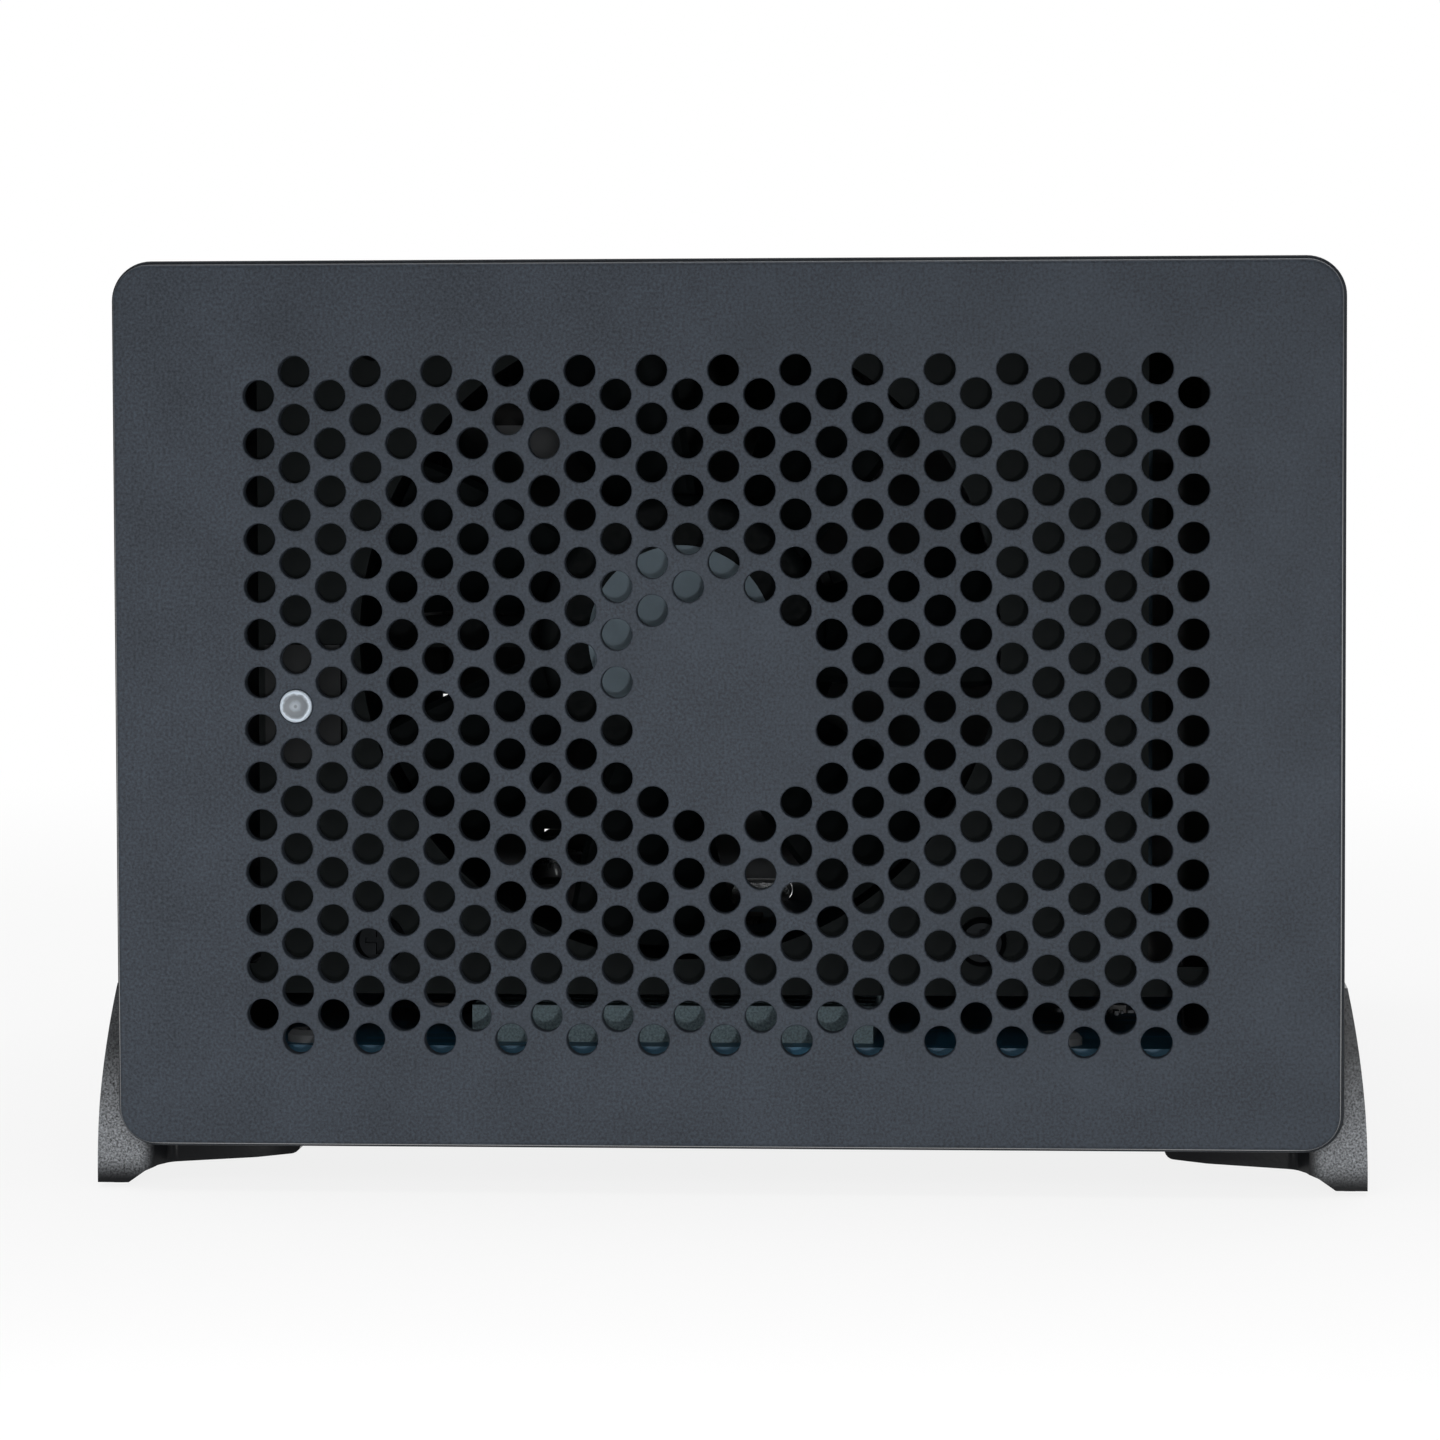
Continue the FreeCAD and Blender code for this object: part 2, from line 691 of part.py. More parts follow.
def make_feet():
    """Corner feet: a splayed wing up the side, a narrow sole and an arm under the sleeve."""
    foot = node(new_body("foot_front_left"))
    front = face + sheet_size("foot_setback")
    rear = front + sheet_size("foot_length")
    sole = sheet_size("pad_proud")
    outer = -half_width - sheet_size("foot_splay")
    sole_end = outer + sheet_size("foot_sole")
    wing_top = case_bottom + sheet_size("foot_rise")
    arm_end = sheet_size("foot_reach") - half_width
    arm_root = case_bottom - sheet_size("foot_arm_root")
    arm_tip = case_bottom - sheet_size("foot_arm_tip")
    slope = arm_root - sole
    nose = sheet_size("foot_arm_tip") * 0.7
    profile = outline([
        (-half_width, wing_top),
        (-half_width - sheet_size("foot_lip"), wing_top),
        (outer, sole),
        (sole_end, sole),
        (sole_end + slope, arm_root - slope * 0.3),
        (sole_end + slope * 1.7, arm_root),
        (arm_end, arm_tip, nose),
        (arm_end, case_bottom),
        (-half_width, case_bottom, case_corner - hole_gap),
    ], {1: sheet_size("foot_bow")})
    add(foot, "foot_profile", "XZ", front, rear, profile)

    taper = sheet_size("foot_taper")
    past = wing_top + taper
    lowest = case_bottom + taper
    inward = front + taper
    front_corner = outline([(front, lowest), (front, past), (inward, past), (inward, wing_top)])
    inward = rear - taper
    rear_corner = outline([(rear, lowest), (inward, wing_top), (inward, past), (rear, past)])
    cut(foot, "wing_taper", "YZ", outer - taper, -half_width, front_corner, rear_corner)
    setback = sheet_size("foot_arm_setback")
    block = outer + sheet_size("foot_block")
    beyond = arm_end + taper
    inward = front + setback
    deepest = front + taper
    front_arm = outline([
        (block, front),
        (block + setback / 2, inward, setback / 2),
        (arm_end - taper, inward),
        (arm_end, deepest),
        (beyond, deepest),
        (beyond, front),
    ])
    inward = rear - setback
    deepest = rear - taper
    rear_arm = outline([
        (block, rear),
        (beyond, rear),
        (beyond, deepest),
        (arm_end, deepest),
        (arm_end - taper, inward),
        (block + setback / 2, inward, setback / 2),
    ])
    cut(foot, "arm_faces", "XY", 0, case_bottom, front_arm, rear_arm)

    spots = [spot for spot in foot_screw_spots() if spot[0].number < 0 and spot[1].number < 0]
    seats = [circle(x, y, sheet_size("foot_screw_radius") * 2 + hole_gap) for x, y in spots]
    holes = [circle(x, y, sheet_size("foot_screw_radius") + fit_gap) for x, y in spots]
    cut(foot, "screw_seats", "XY", 0, case_bottom - sheet_size("foot_screw_seat"), *seats)
    cut(foot, "screw_holes", "XY", 0, case_bottom, *holes)

    pad_x = outer + sheet_size("foot_sole") / 2
    pad_y = front + sheet_size("foot_length") / 2
    width = sheet_size("pad_width")
    length = sheet_size("pad_length")
    pad_top = sole + sheet_size("pad_recess")
    groove = middle_box(pad_x, pad_y, width + fit_gap, length + fit_gap, width / 3 + fit_gap / 2)
    cut(foot, "pad_groove", "XY", 0, pad_top, groove)
    pad = node(new_body("foot_pad_front_left"))
    add(pad, "pad", "XY", 0, pad_top, middle_box(pad_x, pad_y, width, length, width / 3))

    to_right = FreeCAD.Vector(1, 0, 0)
    to_rear = FreeCAD.Vector(0, 1, 0)
    for piece, name in ((foot, "foot"), (pad, "foot_pad")):
        right = mirrored(name + "_front_right", piece, to_right)
        mirrored(name + "_rear_left", piece, to_rear)
        mirrored(name + "_rear_right", right, to_rear)


def make_foot_screws():
    """Screws from below through the feet into the sleeve's floor."""
    radius = sheet_size("foot_screw_radius").number
    seat = case_bottom - sheet_size("foot_screw_seat")
    length = (inner_bottom - seat - fit_gap).number
    down = FreeCAD.Vector(0, 0, -1)
    screws = []
    for x, y in foot_screw_spots():
        screws.append(pan_screw(vector(x, y, seat), down, radius * 2, radius, radius, length))
    group("foot_screws", screws)


def make_thumb_brackets():
    """Angle brackets inside the sleeve, each with a clinch nut for a thumbscrew."""
    bracket = node(new_body("thumbscrew_bracket_right"))
    height = sheet_size("thumb_bracket_height")
    reach = sheet_size("thumb_bracket_reach")
    tab_back = wall_in - fit_gap * 2
    tab_front = tab_back - tray_sheet
    angle = outline([
        (inner_side, tab_back),
        (inner_side - reach, tab_back),
        (inner_side - reach, tab_front),
        (inner_side - tray_sheet, tab_front, tray_sheet),
        (inner_side - tray_sheet, tab_front - reach),
        (inner_side, tab_front - reach),
    ])
    add(bracket, "angle", "XY", thumb_z - height / 2, thumb_z + height / 2, angle)
    nut_front = tab_front - tray_sheet * 2
    shank = sheet_size("thumb_shank")
    thread = shank + sheet_size("thread_gap")
    add(bracket, "clinch_nut", "XZ", nut_front, tab_front, circle(thumb_x, thumb_z, shank * 2))
    cut(bracket, "thread", "XZ", nut_front, tab_back, circle(thumb_x, thumb_z, thread))
    mirrored("thumbscrew_bracket_left", bracket, FreeCAD.Vector(1, 0, 0))


# Tray

def cover_heights():
    """Middle height of each slot cover."""
    return [cover_low, cover_low + card_pitch]


def rear_fold_half():
    """Half the width of the fold between the tray's floor and its rear wall."""
    return tray_half - sheet_size("tray_bend") * 2 - tray_sheet


def rear_vent_row():
    """Number of slots along the top of the rear wall, X of the first and Z of their middle."""
    pitch = sheet_size("rear_vent_pitch")
    vents = int(2 * (rear_fold_half() - sheet_size("rear_vent_width")).number / pitch.number)
    middle = wall_top - sheet_size("rear_vent_drop") - sheet_size("rear_vent_height") / 2
    return vents, -pitch * ((vents - 1) / 2), middle


def make_dust_gauze():
    """Fine woven gauze, a thin sheet stuck inside the rear wall over its air slots."""
    gauze = node(new_body("dust_gauze"))
    margin = sheet_size("gauze_margin")
    first, middle = rear_vent_row()[1:]
    half = sheet_size("rear_vent_width") / 2 + margin - first
    height = sheet_size("rear_vent_height") + margin * 2
    add(gauze, "sheet", "XZ", wall_in - sheet_size("gauze_sheet"), wall_in,
        middle_box(as_size(0), middle, half * 2, height, margin))


def make_tray():
    """Folded sheet: floor with side lips, rear wall, and a shelf that the slot covers are screwed to."""
    tray = node(new_body("tray"))
    lip_top = tray_bottom + sheet_size("tray_lip")
    bend = sheet_size("tray_bend")
    inner = tray_half - tray_sheet
    trough = outline([
        (-tray_half, lip_top),
        (-tray_half, tray_bottom, bend + tray_sheet),
        (tray_half, tray_bottom, bend + tray_sheet),
        (tray_half, lip_top),
        (inner, lip_top),
        (inner, tray_floor, bend),
        (-inner, tray_floor, bend),
        (-inner, lip_top),
    ])
    fold = wall_out - bend * 3
    add(tray, "trough", "XZ", tray_front, fold, trough)
    fold_half = rear_fold_half()
    angle = outline([
        (fold, tray_bottom),
        (wall_out, tray_bottom, bend + tray_sheet),
        (wall_out, wall_top),
        (wall_in, wall_top),
        (wall_in, tray_floor, bend),
        (fold, tray_floor),
    ])
    add(tray, "rear_fold", "YZ", -fold_half, fold_half, angle)
    wall_low = tray_bottom + bend * 2 + tray_sheet
    wall = box(-tray_half, wall_low, tray_half, wall_top, case_corner - sleeve_wall)
    add(tray, "rear_wall", "XZ", wall_in, wall_out, wall)

    covers = cover_heights()
    shelf_low = covers[0] - card_pitch / 2 - fit_gap
    shelf_high = covers[1] + card_pitch / 2 + fit_gap
    shelf_inner = shelf_x + tray_sheet
    notch_left = shelf_x - sheet_size("cover_sheet") - fit_gap / 2
    notch = box(notch_left, shelf_low, shelf_inner + bend, shelf_high)
    cut(tray, "card_notch", "XZ", wall_in, wall_out, notch)
    shelf_end = wall_out + sheet_size("cover_tab")
    shelf = outline([
        (shelf_inner + bend, wall_in),
        (shelf_x, wall_in, bend),
        (shelf_x, shelf_end),
        (shelf_inner, shelf_end),
        (shelf_inner, wall_out, bend - tray_sheet),
        (shelf_inner + bend, wall_out),
    ])
    add(tray, "cover_shelf", "XY", shelf_low, shelf_high, shelf)

    window_left = shelf_inner + bend * 2
    window_right = riser_x - bend
    window_half = sheet_size("cover_window") / 2
    windows = [box(window_left, z - window_half, window_right, z + window_half, bend / 2) for z in covers]
    cut(tray, "card_windows", "XZ", wall_in, wall_out, *windows)
    taps = [circle(cover_screw_y, z, screw_radius + fit_gap / 2) for z in covers]
    cut(tray, "cover_taps", "YZ", shelf_x, shelf_inner, *taps)

    clear = sheet_size("thumb_shank") + hole_gap * 2
    thumb_holes = [circle(x, thumb_z, clear) for x in (-thumb_x, thumb_x)]
    cut(tray, "thumbscrew_holes", "XZ", wall_in, wall_out, *thumb_holes)

    port_gap = fit_gap
    port_width = sheet_size("port_width") + port_gap
    port_height = sheet_size("port_height") + port_gap
    port_z = board_top + sheet_size("port_height") / 2
    port_spots = [-sheet_size("port_spacing") / 2, sheet_size("port_spacing") / 2]
    ports = [middle_box(x, port_z, port_width, port_height, port_height * 0.45) for x in port_spots]
    inlet_width = sheet_size("inlet_width") + port_gap
    inlet_top = board_top + sheet_size("inlet_height") + port_gap / 2
    inlet = box(inlet_x - inlet_width / 2, board_top - hole_gap, inlet_x + inlet_width / 2, inlet_top)
    cut(tray, "port_holes", "XZ", wall_in, wall_out, inlet, *ports)

    vent_width = sheet_size("rear_vent_width")
    vents, first, vent_z = rear_vent_row()
    vent = cut(tray, "rear_vent", "XZ", wall_in, wall_out,
               middle_box(first, vent_z, vent_width, sheet_size("rear_vent_height"), vent_width * 0.45))
    row_of(tray, "rear_vents", vent, "X", sheet_size("rear_vent_pitch"), vents)

    taps = [circle(x, y, screw_radius + fit_gap / 2) for x, y in floor_screw_spots()]
    cut(tray, "floor_taps", "XY", tray_bottom, tray_floor, *taps)


def leg_middle(side):
    """Middle of a fan plate leg, left (-1) or right (1), clear of the bend at the tray's lip."""
    return side * (tray_half - tray_sheet - sheet_size("tray_bend") - hole_gap - sheet_size("leg_width") / 2)


def riser_screw_rows():
    """Y of the screws that hold the riser bracket's foot, beside each end of the card slots."""
    rear = wall_in - sheet_size("slot_from_wall")
    front = rear - sheet_size("slot_length")
    half_margin = sheet_size("riser_margin") / 2
    return [front - half_margin, rear + half_margin]


def floor_screw_spots():
    """Screws down into the tray's floor: fan plate legs first, then the riser bracket's foot."""
    leg_y = fan_front + sheet_size("leg_foot") / 2
    spots = [(leg_middle(side), leg_y) for side in (-1, 1)]
    foot_x = (riser_back + sheet_size("riser_spacer") + tray_half) / 2
    spots += [(foot_x, y) for y in riser_screw_rows()]
    return spots


def make_fan_bracket():
    """Upright plate with the fan's opening, bridging the main board on two legs with folded feet."""
    plate = node(new_body("fan_bracket"))
    bend = sheet_size("tray_bend")
    left = lens_x - sheet_size("light_board_width") / 2 - bend / 2
    right = riser_x
    top = wall_top - bend / 2
    bridge_top = thumb_z - sheet_size("thumb_bracket_height") / 2 - bend / 2
    bridge_low = board_top + sheet_size("bridge_clear")
    leg_half = sheet_size("leg_width") / 2
    leg_inner = [leg_middle(side) - side * leg_half for side in (-1, 1)]
    leg_outer = [leg_middle(side) + side * leg_half for side in (-1, 1)]
    bridge = outline([
        (leg_outer[0], tray_floor),
        (leg_inner[0], tray_floor),
        (leg_inner[0], bridge_low, bend / 2),
        (leg_inner[1], bridge_low, bend / 2),
        (leg_inner[1], tray_floor),
        (leg_outer[1], tray_floor),
        (leg_outer[1], bridge_top, bend),
        (right, bridge_top, bend / 2),
        (right, top, bend),
        (left, top, bend),
        (left, bridge_top, bend / 2),
        (leg_outer[0], bridge_top, bend),
    ])
    add(plate, "bridge", "XZ", tray_front, fan_front, bridge)
    foot_end = fan_front + sheet_size("leg_foot")
    feet = [box(leg_middle(side) - leg_half, tray_front, leg_middle(side) + leg_half, foot_end)
            for side in (-1, 1)]
    add(plate, "feet", "XY", tray_floor, tray_floor + tray_sheet, *feet)
    opening = circle(fan_x, fan_z, fan_bore)
    spots = fan_screw_spots()
    holes = [circle(x, z, screw_radius + hole_gap) for x, z in spots]
    cut(plate, "fan_opening", "XZ", tray_front, fan_front, opening, *holes)
    leg_holes = [circle(x, y, screw_radius + hole_gap) for x, y in floor_screw_spots()[:2]]
    cut(plate, "leg_holes", "XY", tray_floor, tray_floor + tray_sheet, *leg_holes)


def fan_screw_spots():
    """Where the fan's four screws stand."""
    return [(fan_x + sx * fan_hole, fan_z + sz * fan_hole) for sx in (-1, 1) for sz in (-1, 1)]


def make_tray_screws():
    """Screws of the fan plate's legs, the fan and the slot covers."""
    radius = screw_radius.number
    up = FreeCAD.Vector(0, 0, 1)
    ahead = FreeCAD.Vector(0, -1, 0)
    left = FreeCAD.Vector(-1, 0, 0)
    sheet = tray_sheet.number
    seat = tray_floor + tray_sheet
    legs = [pan_screw(vector(x, y, seat), up, radius * 1.9, radius, radius, 1.9 * sheet)
            for x, y in floor_screw_spots()]
    group("floor_screws", legs)
    grip = sheet + 2 * sheet_size("fan_flange").number
    fan = [pan_screw(vector(x, tray_front, z), ahead, radius * 2, radius, radius, grip)
           for x, z in fan_screw_spots()]
    group("fan_screws", fan)
    tab = sheet_size("cover_sheet")
    length = tab.number + sheet + radius
    covers = []
    for z in cover_heights():
        seat = vector(shelf_x - tab, cover_screw_y, z)
        covers.append(pan_screw(seat, left, radius * 2.3, radius * 1.4, radius, length))
    group("slot_cover_screws", covers)


def make_slot_covers():
    """Blank brackets behind the card windows, each with a tab on the shelf and a narrow tongue."""
    sheet = sheet_size("cover_sheet")
    tab_out = shelf_x - sheet
    tongue_end = riser_x + sheet_size("cover_past_riser")
    tab_end = wall_out + sheet_size("cover_tab")
    plate_in = wall_in - sheet
    for label, z in zip(("slot_cover_lower", "slot_cover_upper"), cover_heights()):
        cover = node(new_body(label))
        strip = outline([
            (tab_out, plate_in, sheet * 1.5),
            (tongue_end, plate_in),
            (tongue_end, wall_in),
            (shelf_x, wall_in, sheet * 0.5),
            (shelf_x, tab_end),
            (tab_out, tab_end),
        ])
        add(cover, "strip", "XY", z - cover_width / 2, z + cover_width / 2, strip)
        tongue_half = sheet_size("cover_tongue") / 2
        shoulder = tongue_end - sheet_size("cover_tongue")
        past = cover_width / 2 + sheet
        sides = [box(shoulder, z + tongue_half, tongue_end + sheet, z + past, None),
                 box(shoulder, z - past, tongue_end + sheet, z - tongue_half, None)]
        cut(cover, "tongue", "XZ", plate_in, wall_in, *sides)
        hole = circle(cover_screw_y, z, screw_radius + hole_gap * 2)
        cut(cover, "screw_hole", "YZ", tab_out, shelf_x, hole)


# Boards

def board_screw_spots():
    """Where the main board's six screws stand."""
    left = board_left + screw_radius * 3
    right = riser_x - sheet_size("socket_width") * 1.5
    front = tray_front + screw_radius * 3
    rear = wall_in - screw_radius * 5
    rows = [front, (front + rear) / 2, rear]
    return [(x, y) for x in (left, right) for y in rows]


def make_main_board():
    """Main board on standoffs, reaching from the front of the tray to its rear wall."""
    board = node(new_body("main_board"))
    rear = wall_in - hole_gap
    corner = sheet_size("board_thick")
    sheet = box(board_left, tray_front, board_right, rear, corner)
    holes = [circle(x, y, screw_radius + fit_gap) for x, y in board_screw_spots()]
    add(board, "board", "XY", board_low, board_top, sheet, *holes)

    radius = sheet_size("standoff_radius").number
    bore = screw_radius.number + fit_gap.number / 2
    height = sheet_size("board_height").number
    standoffs = []
    screws = []
    up = FreeCAD.Vector(0, 0, 1)
    for x, y in board_screw_spots():
        post = Part.makeCylinder(radius, height, vector(x, y, tray_floor))
        standoffs.append(post.cut(Part.makeCylinder(bore, height, vector(x, y, tray_floor))))
        seat = vector(x, y, board_top)
        screws.append(pan_screw(seat, up, radius, screw_radius.number, screw_radius.number, height * 0.8))
    group("board_standoffs", standoffs)
    group("board_screws", screws)


def make_controller():
    """Controller chip near the front edge in a nest under a low ribbed heat spreader."""
    width = sheet_size("spreader_width")
    length = sheet_size("spreader_length")
    height = sheet_size("spreader_height")
    pitch = sheet_size("rib_pitch")
    middle_x = fan_x - sheet_size("spreader_shift")
    middle_y = tray_front + length * 0.65
    chip_top = board_top + sheet_size("chip_height")
    chip = node(new_body("controller_chip"))
    add(chip, "package", "XY", board_top, chip_top, middle_box(middle_x, middle_y, length / 2, length / 2))
    spreader = node(new_body("heat_spreader"))
    top = chip_top + height
    add(spreader, "block", "XY", board_top, top, middle_box(middle_x, middle_y, width, length))
    nest = length / 2 + hole_gap * 2
    cut(spreader, "chip_nest", "XY", board_top, chip_top, middle_box(middle_x, middle_y, nest, nest))
    first = middle_y - length / 2 + pitch / 2
    rib = box(first, chip_top + height * 0.4, first + pitch / 2, top)
    groove = cut(spreader, "groove", "YZ", middle_x - width / 2, middle_x + width / 2, rib)
    grooves = int(length.number / pitch.number - 0.5)
    row_of(spreader, "grooves", groove, "Y", pitch, grooves)


def make_ports():
    """Two data ports and a round power inlet at the rear edge of the main board."""
    width = sheet_size("port_width")
    height = sheet_size("port_height")
    z = board_top + height / 2
    wall = hole_gap
    back = wall_out - sheet_size("port_depth")
    for label, side in (("data_port_left", -1), ("data_port_right", 1)):
        port = node(new_body(label))
        x = side * sheet_size("port_spacing") / 2
        add(port, "shell", "XZ", back, wall_out, middle_box(x, z, width, height, height * 0.48))
        inner_height = height - wall * 2
        mouth = middle_box(x, z, width - wall * 2, inner_height, inner_height * 0.48)
        cut(port, "mouth", "XZ", back + height, wall_out, mouth)
        tongue = middle_box(x, z, width * 0.75, height * 0.21)
        add(port, "tongue", "XZ", back + height, wall_out - wall * 3, tongue)

    inlet = node(new_body("power_inlet"))
    half = sheet_size("inlet_width") / 2
    top = board_top + sheet_size("inlet_height")
    back = wall_out - sheet_size("inlet_depth")
    case = box(inlet_x - half, board_top, inlet_x + half, top, wall * 3)
    add(inlet, "case", "XZ", back, wall_out, case)
    middle = board_top + sheet_size("inlet_height") / 2
    floor = back + wall * 8
    cut(inlet, "barrel", "XZ", floor, wall_out, circle(inlet_x, middle, half * 0.72))
    add(inlet, "pin", "XZ", floor, wall_out - wall * 2, circle(inlet_x, middle, half * 0.25))


def make_riser():
    """Upright board with two card slots, its socket, and the angle bracket that stiffens it."""
    thick = sheet_size("board_thick")
    slot_rear = wall_in - sheet_size("slot_from_wall")
    slot_front = slot_rear - sheet_size("slot_length")
    margin = sheet_size("riser_margin")
    front = slot_front - margin
    rear = slot_rear + margin
    socket_top = board_top + sheet_size("socket_height")
    slit_floor = board_top + sheet_size("socket_height") * 0.3
    screw_rows = riser_screw_rows()
    screw_heights = [socket_top + margin, riser_top - margin / 2]
    spots = [(y, z) for y in screw_rows for z in screw_heights]

    riser = node(new_body("riser_board"))
    holes = [circle(y, z, screw_radius + fit_gap) for y, z in spots]
    sheet = box(front, slit_floor + fit_gap, rear, riser_top, thick)
    add(riser, "board", "YZ", riser_x, riser_back, sheet, *holes)

    socket = node(new_body("riser_socket"))
    middle = riser_x + thick / 2
    half = sheet_size("socket_width") / 2
    reach = margin / 4
    block = box(middle - half, front - reach, middle + half, rear + reach)
    add(socket, "body", "XY", board_top, socket_top, block)
    slit = box(riser_x - fit_gap, front - fit_gap, riser_back + fit_gap, rear + fit_gap)
    cut(socket, "slit", "XY", slit_floor, socket_top, slit)

    slot_low = riser_x - sheet_size("slot_height")
    slot_half = sheet_size("slot_width") / 2
    for label, level in (("card_slot_lower", 0), ("card_slot_upper", 1)):
        slot = node(new_body(label))
        z = card_low + card_pitch * level
        block = box(slot_front, z - slot_half, slot_rear, z + slot_half, thick / 2)
        add(slot, "body", "YZ", slot_low, riser_x, block)
        gap = thick / 2 + fit_gap
        wall = slot_half - gap
        key = slot_rear - sheet_size("slot_height") - wall
        short = box(key + gap, z - gap, slot_rear - wall, z + gap)
        long = box(slot_front + wall, z - gap, key - gap, z + gap)
        cut(slot, "card_slit", "YZ", slot_low, slot_low + sheet_size("slot_height") * 0.7, short, long)

    bracket = node(new_body("riser_bracket"))
    plate = riser_back + sheet_size("riser_spacer")
    sheet_thick = tray_sheet
    bend = sheet_size("tray_bend")
    foot_end = tray_half - tray_sheet - bend * 1.5
    angle = outline([
        (plate, riser_top),
        (plate, tray_floor, bend / 2 + sheet_thick),
        (foot_end, tray_floor),
        (foot_end, tray_floor + sheet_thick),
        (plate + sheet_thick, tray_floor + sheet_thick, bend / 2),
        (plate + sheet_thick, riser_top),
    ])
    add(bracket, "angle", "XZ", front, rear, angle)
    taps = [circle(y, z, screw_radius + fit_gap / 2) for y, z in spots]
    cut(bracket, "riser_taps", "YZ", plate, plate + sheet_thick, *taps)
    feet = [circle(x, y, screw_radius + hole_gap) for x, y in floor_screw_spots()[2:]]
    cut(bracket, "foot_holes", "XY", tray_floor, tray_floor + sheet_thick, *feet)

    spacer = sheet_size("riser_spacer").number
    outward = FreeCAD.Vector(1, 0, 0)
    spacers = []
    screws = []
    radius = screw_radius.number
    for y, z in spots:
        start = vector(riser_back, y, z)
        tube = Part.makeCylinder(radius * 1.8, spacer, start, outward)
        spacers.append(tube.cut(Part.makeCylinder(radius + fit_gap.number / 2, spacer, start, outward)))
        length = (plate + sheet_thick - riser_x).number
        seat = vector(riser_x, y, z)
        screws.append(pan_screw(seat, -outward, radius * 1.8, radius, radius, length))
    group("riser_spacers", spacers)
    group("riser_screws", screws)


def make_power_parts():
    """Filter capacitors and a choke behind the power inlet."""
    radius = sheet_size("capacitor_radius")
    base_y = wall_out - sheet_size("inlet_depth") - radius * 3
    height = (radius * 2.4).number
    cans = []
    for index in range(3):
        foot = vector(inlet_x + radius * 2.6 * index, base_y, board_top)
        can = Part.makeCylinder(radius.number, height, foot)
        rim = [edge for edge in can.Edges if lies_at(edge, "Z", foot.z + height)]
        cans.append(can.makeFillet(radius.number * 0.15, rim))
    group("capacitors", cans)
    choke = node(new_body("choke"))
    side = radius * 3
    core = middle_box(inlet_x + radius, base_y - radius * 4, side, side, radius * 0.4)
    add(choke, "core", "XY", board_top, board_top + radius * 1.6, core)


def make_status_light():
    """Small board on the fan plate with a light just behind the lens."""
    board = node(new_body("light_board"))
    width = sheet_size("light_board_width")
    height = sheet_size("light_board_height")
    front = tray_front - sheet_size("board_thick")
    add(board, "board", "XZ", front, tray_front, middle_box(lens_x, case_middle, width, height))
    light = node(new_body("status_light"))
    side = sheet_size("lens_radius")
    add(light, "package", "XZ", front - sheet_size("light_height"), front,
        middle_box(lens_x, case_middle, side * 1.6, side))


# Fan, each piece about its own axis with its front face at the local origin

def fan_body(label):
    body = node(new_body(label))
    place_body(body, fan_x, fan_front, fan_z)
    return body


BASE_RADIUS = sheet_size("hub_radius") + sheet_size("motor_base_margin")
BASE_FRONT = sheet_size("fan_depth") - sheet_size("motor_base_thick")
HUB_START = sheet_size("hub_recess")
HUB_END = HUB_START + sheet_size("hub_length")


def make_fan_frame():
    """Square frame with two flanges, a round duct, and the motor base on four struts at its back."""
    frame = fan_body("fan_frame")
    depth = sheet_size("fan_depth")
    flange = sheet_size("fan_flange")
    duct_wall = sheet_size("fan_duct_wall")
    square = middle_box(as_size(0), as_size(0), fan_size, fan_size, flange)
    add(frame, "front_flange", "XZ", 0, flange, square)
    add(frame, "duct", "XZ", 0, depth, circle(0, 0, fan_bore + duct_wall))
    add(frame, "back_flange", "XZ", depth - flange, depth, square)
    cut(frame, "bore", "XZ", 0, depth, circle(0, 0, fan_bore))
    corners = [(sx * fan_hole, sz * fan_hole) for sx in (-1, 1) for sz in (-1, 1)]
    holes = [circle(x, z, screw_radius + fit_gap) for x, z in corners]
    cut(frame, "screw_holes", "XZ", 0, depth, *holes)
    add(frame, "motor_base", "XZ", BASE_FRONT, depth, circle(0, 0, BASE_RADIUS))
    strut = box(sheet_size("hub_radius"), -flange / 2, fan_bore + duct_wall / 2, flange / 2)
    first = add(frame, "strut", "XZ", BASE_FRONT, depth, strut)
    ring_of(frame, "struts", first, as_size(4))
    seat = circle(0, 0, sheet_size("bearing_radius") + fit_gap / 2)
    cut(frame, "bearing_seat", "XZ", BASE_FRONT, depth - sheet_size("bearing_floor"), seat)


def blade_section(radius, place, sweep):
    """Thin cambered section across a blade at its root, middle or tip, bowed on the side it pushes with."""
    thick = sheet_size("blade_thick")
    chord = sheet_size("blade_%s_chord" % place).number
    angle = math.radians(sheet_size("blade_%s_pitch" % place).number)
    middle = HUB_START + sheet_size("hub_length") / 2
    along = chord / 2 * math.sin(angle)
    across = chord / 2 * math.cos(angle)
    lift = thick / 2 * math.cos(angle)
    shift = thick / 2 * math.sin(angle)
    corners = [
        (middle - along - lift, -across + sweep + shift),
        (middle + along - lift, across + sweep + shift),
        (middle + along + lift, across + sweep - shift),
        (middle - along + lift, -across + sweep - shift),
    ]
    return radius, outline(corners, {0: as_size(chord * 1.4)})


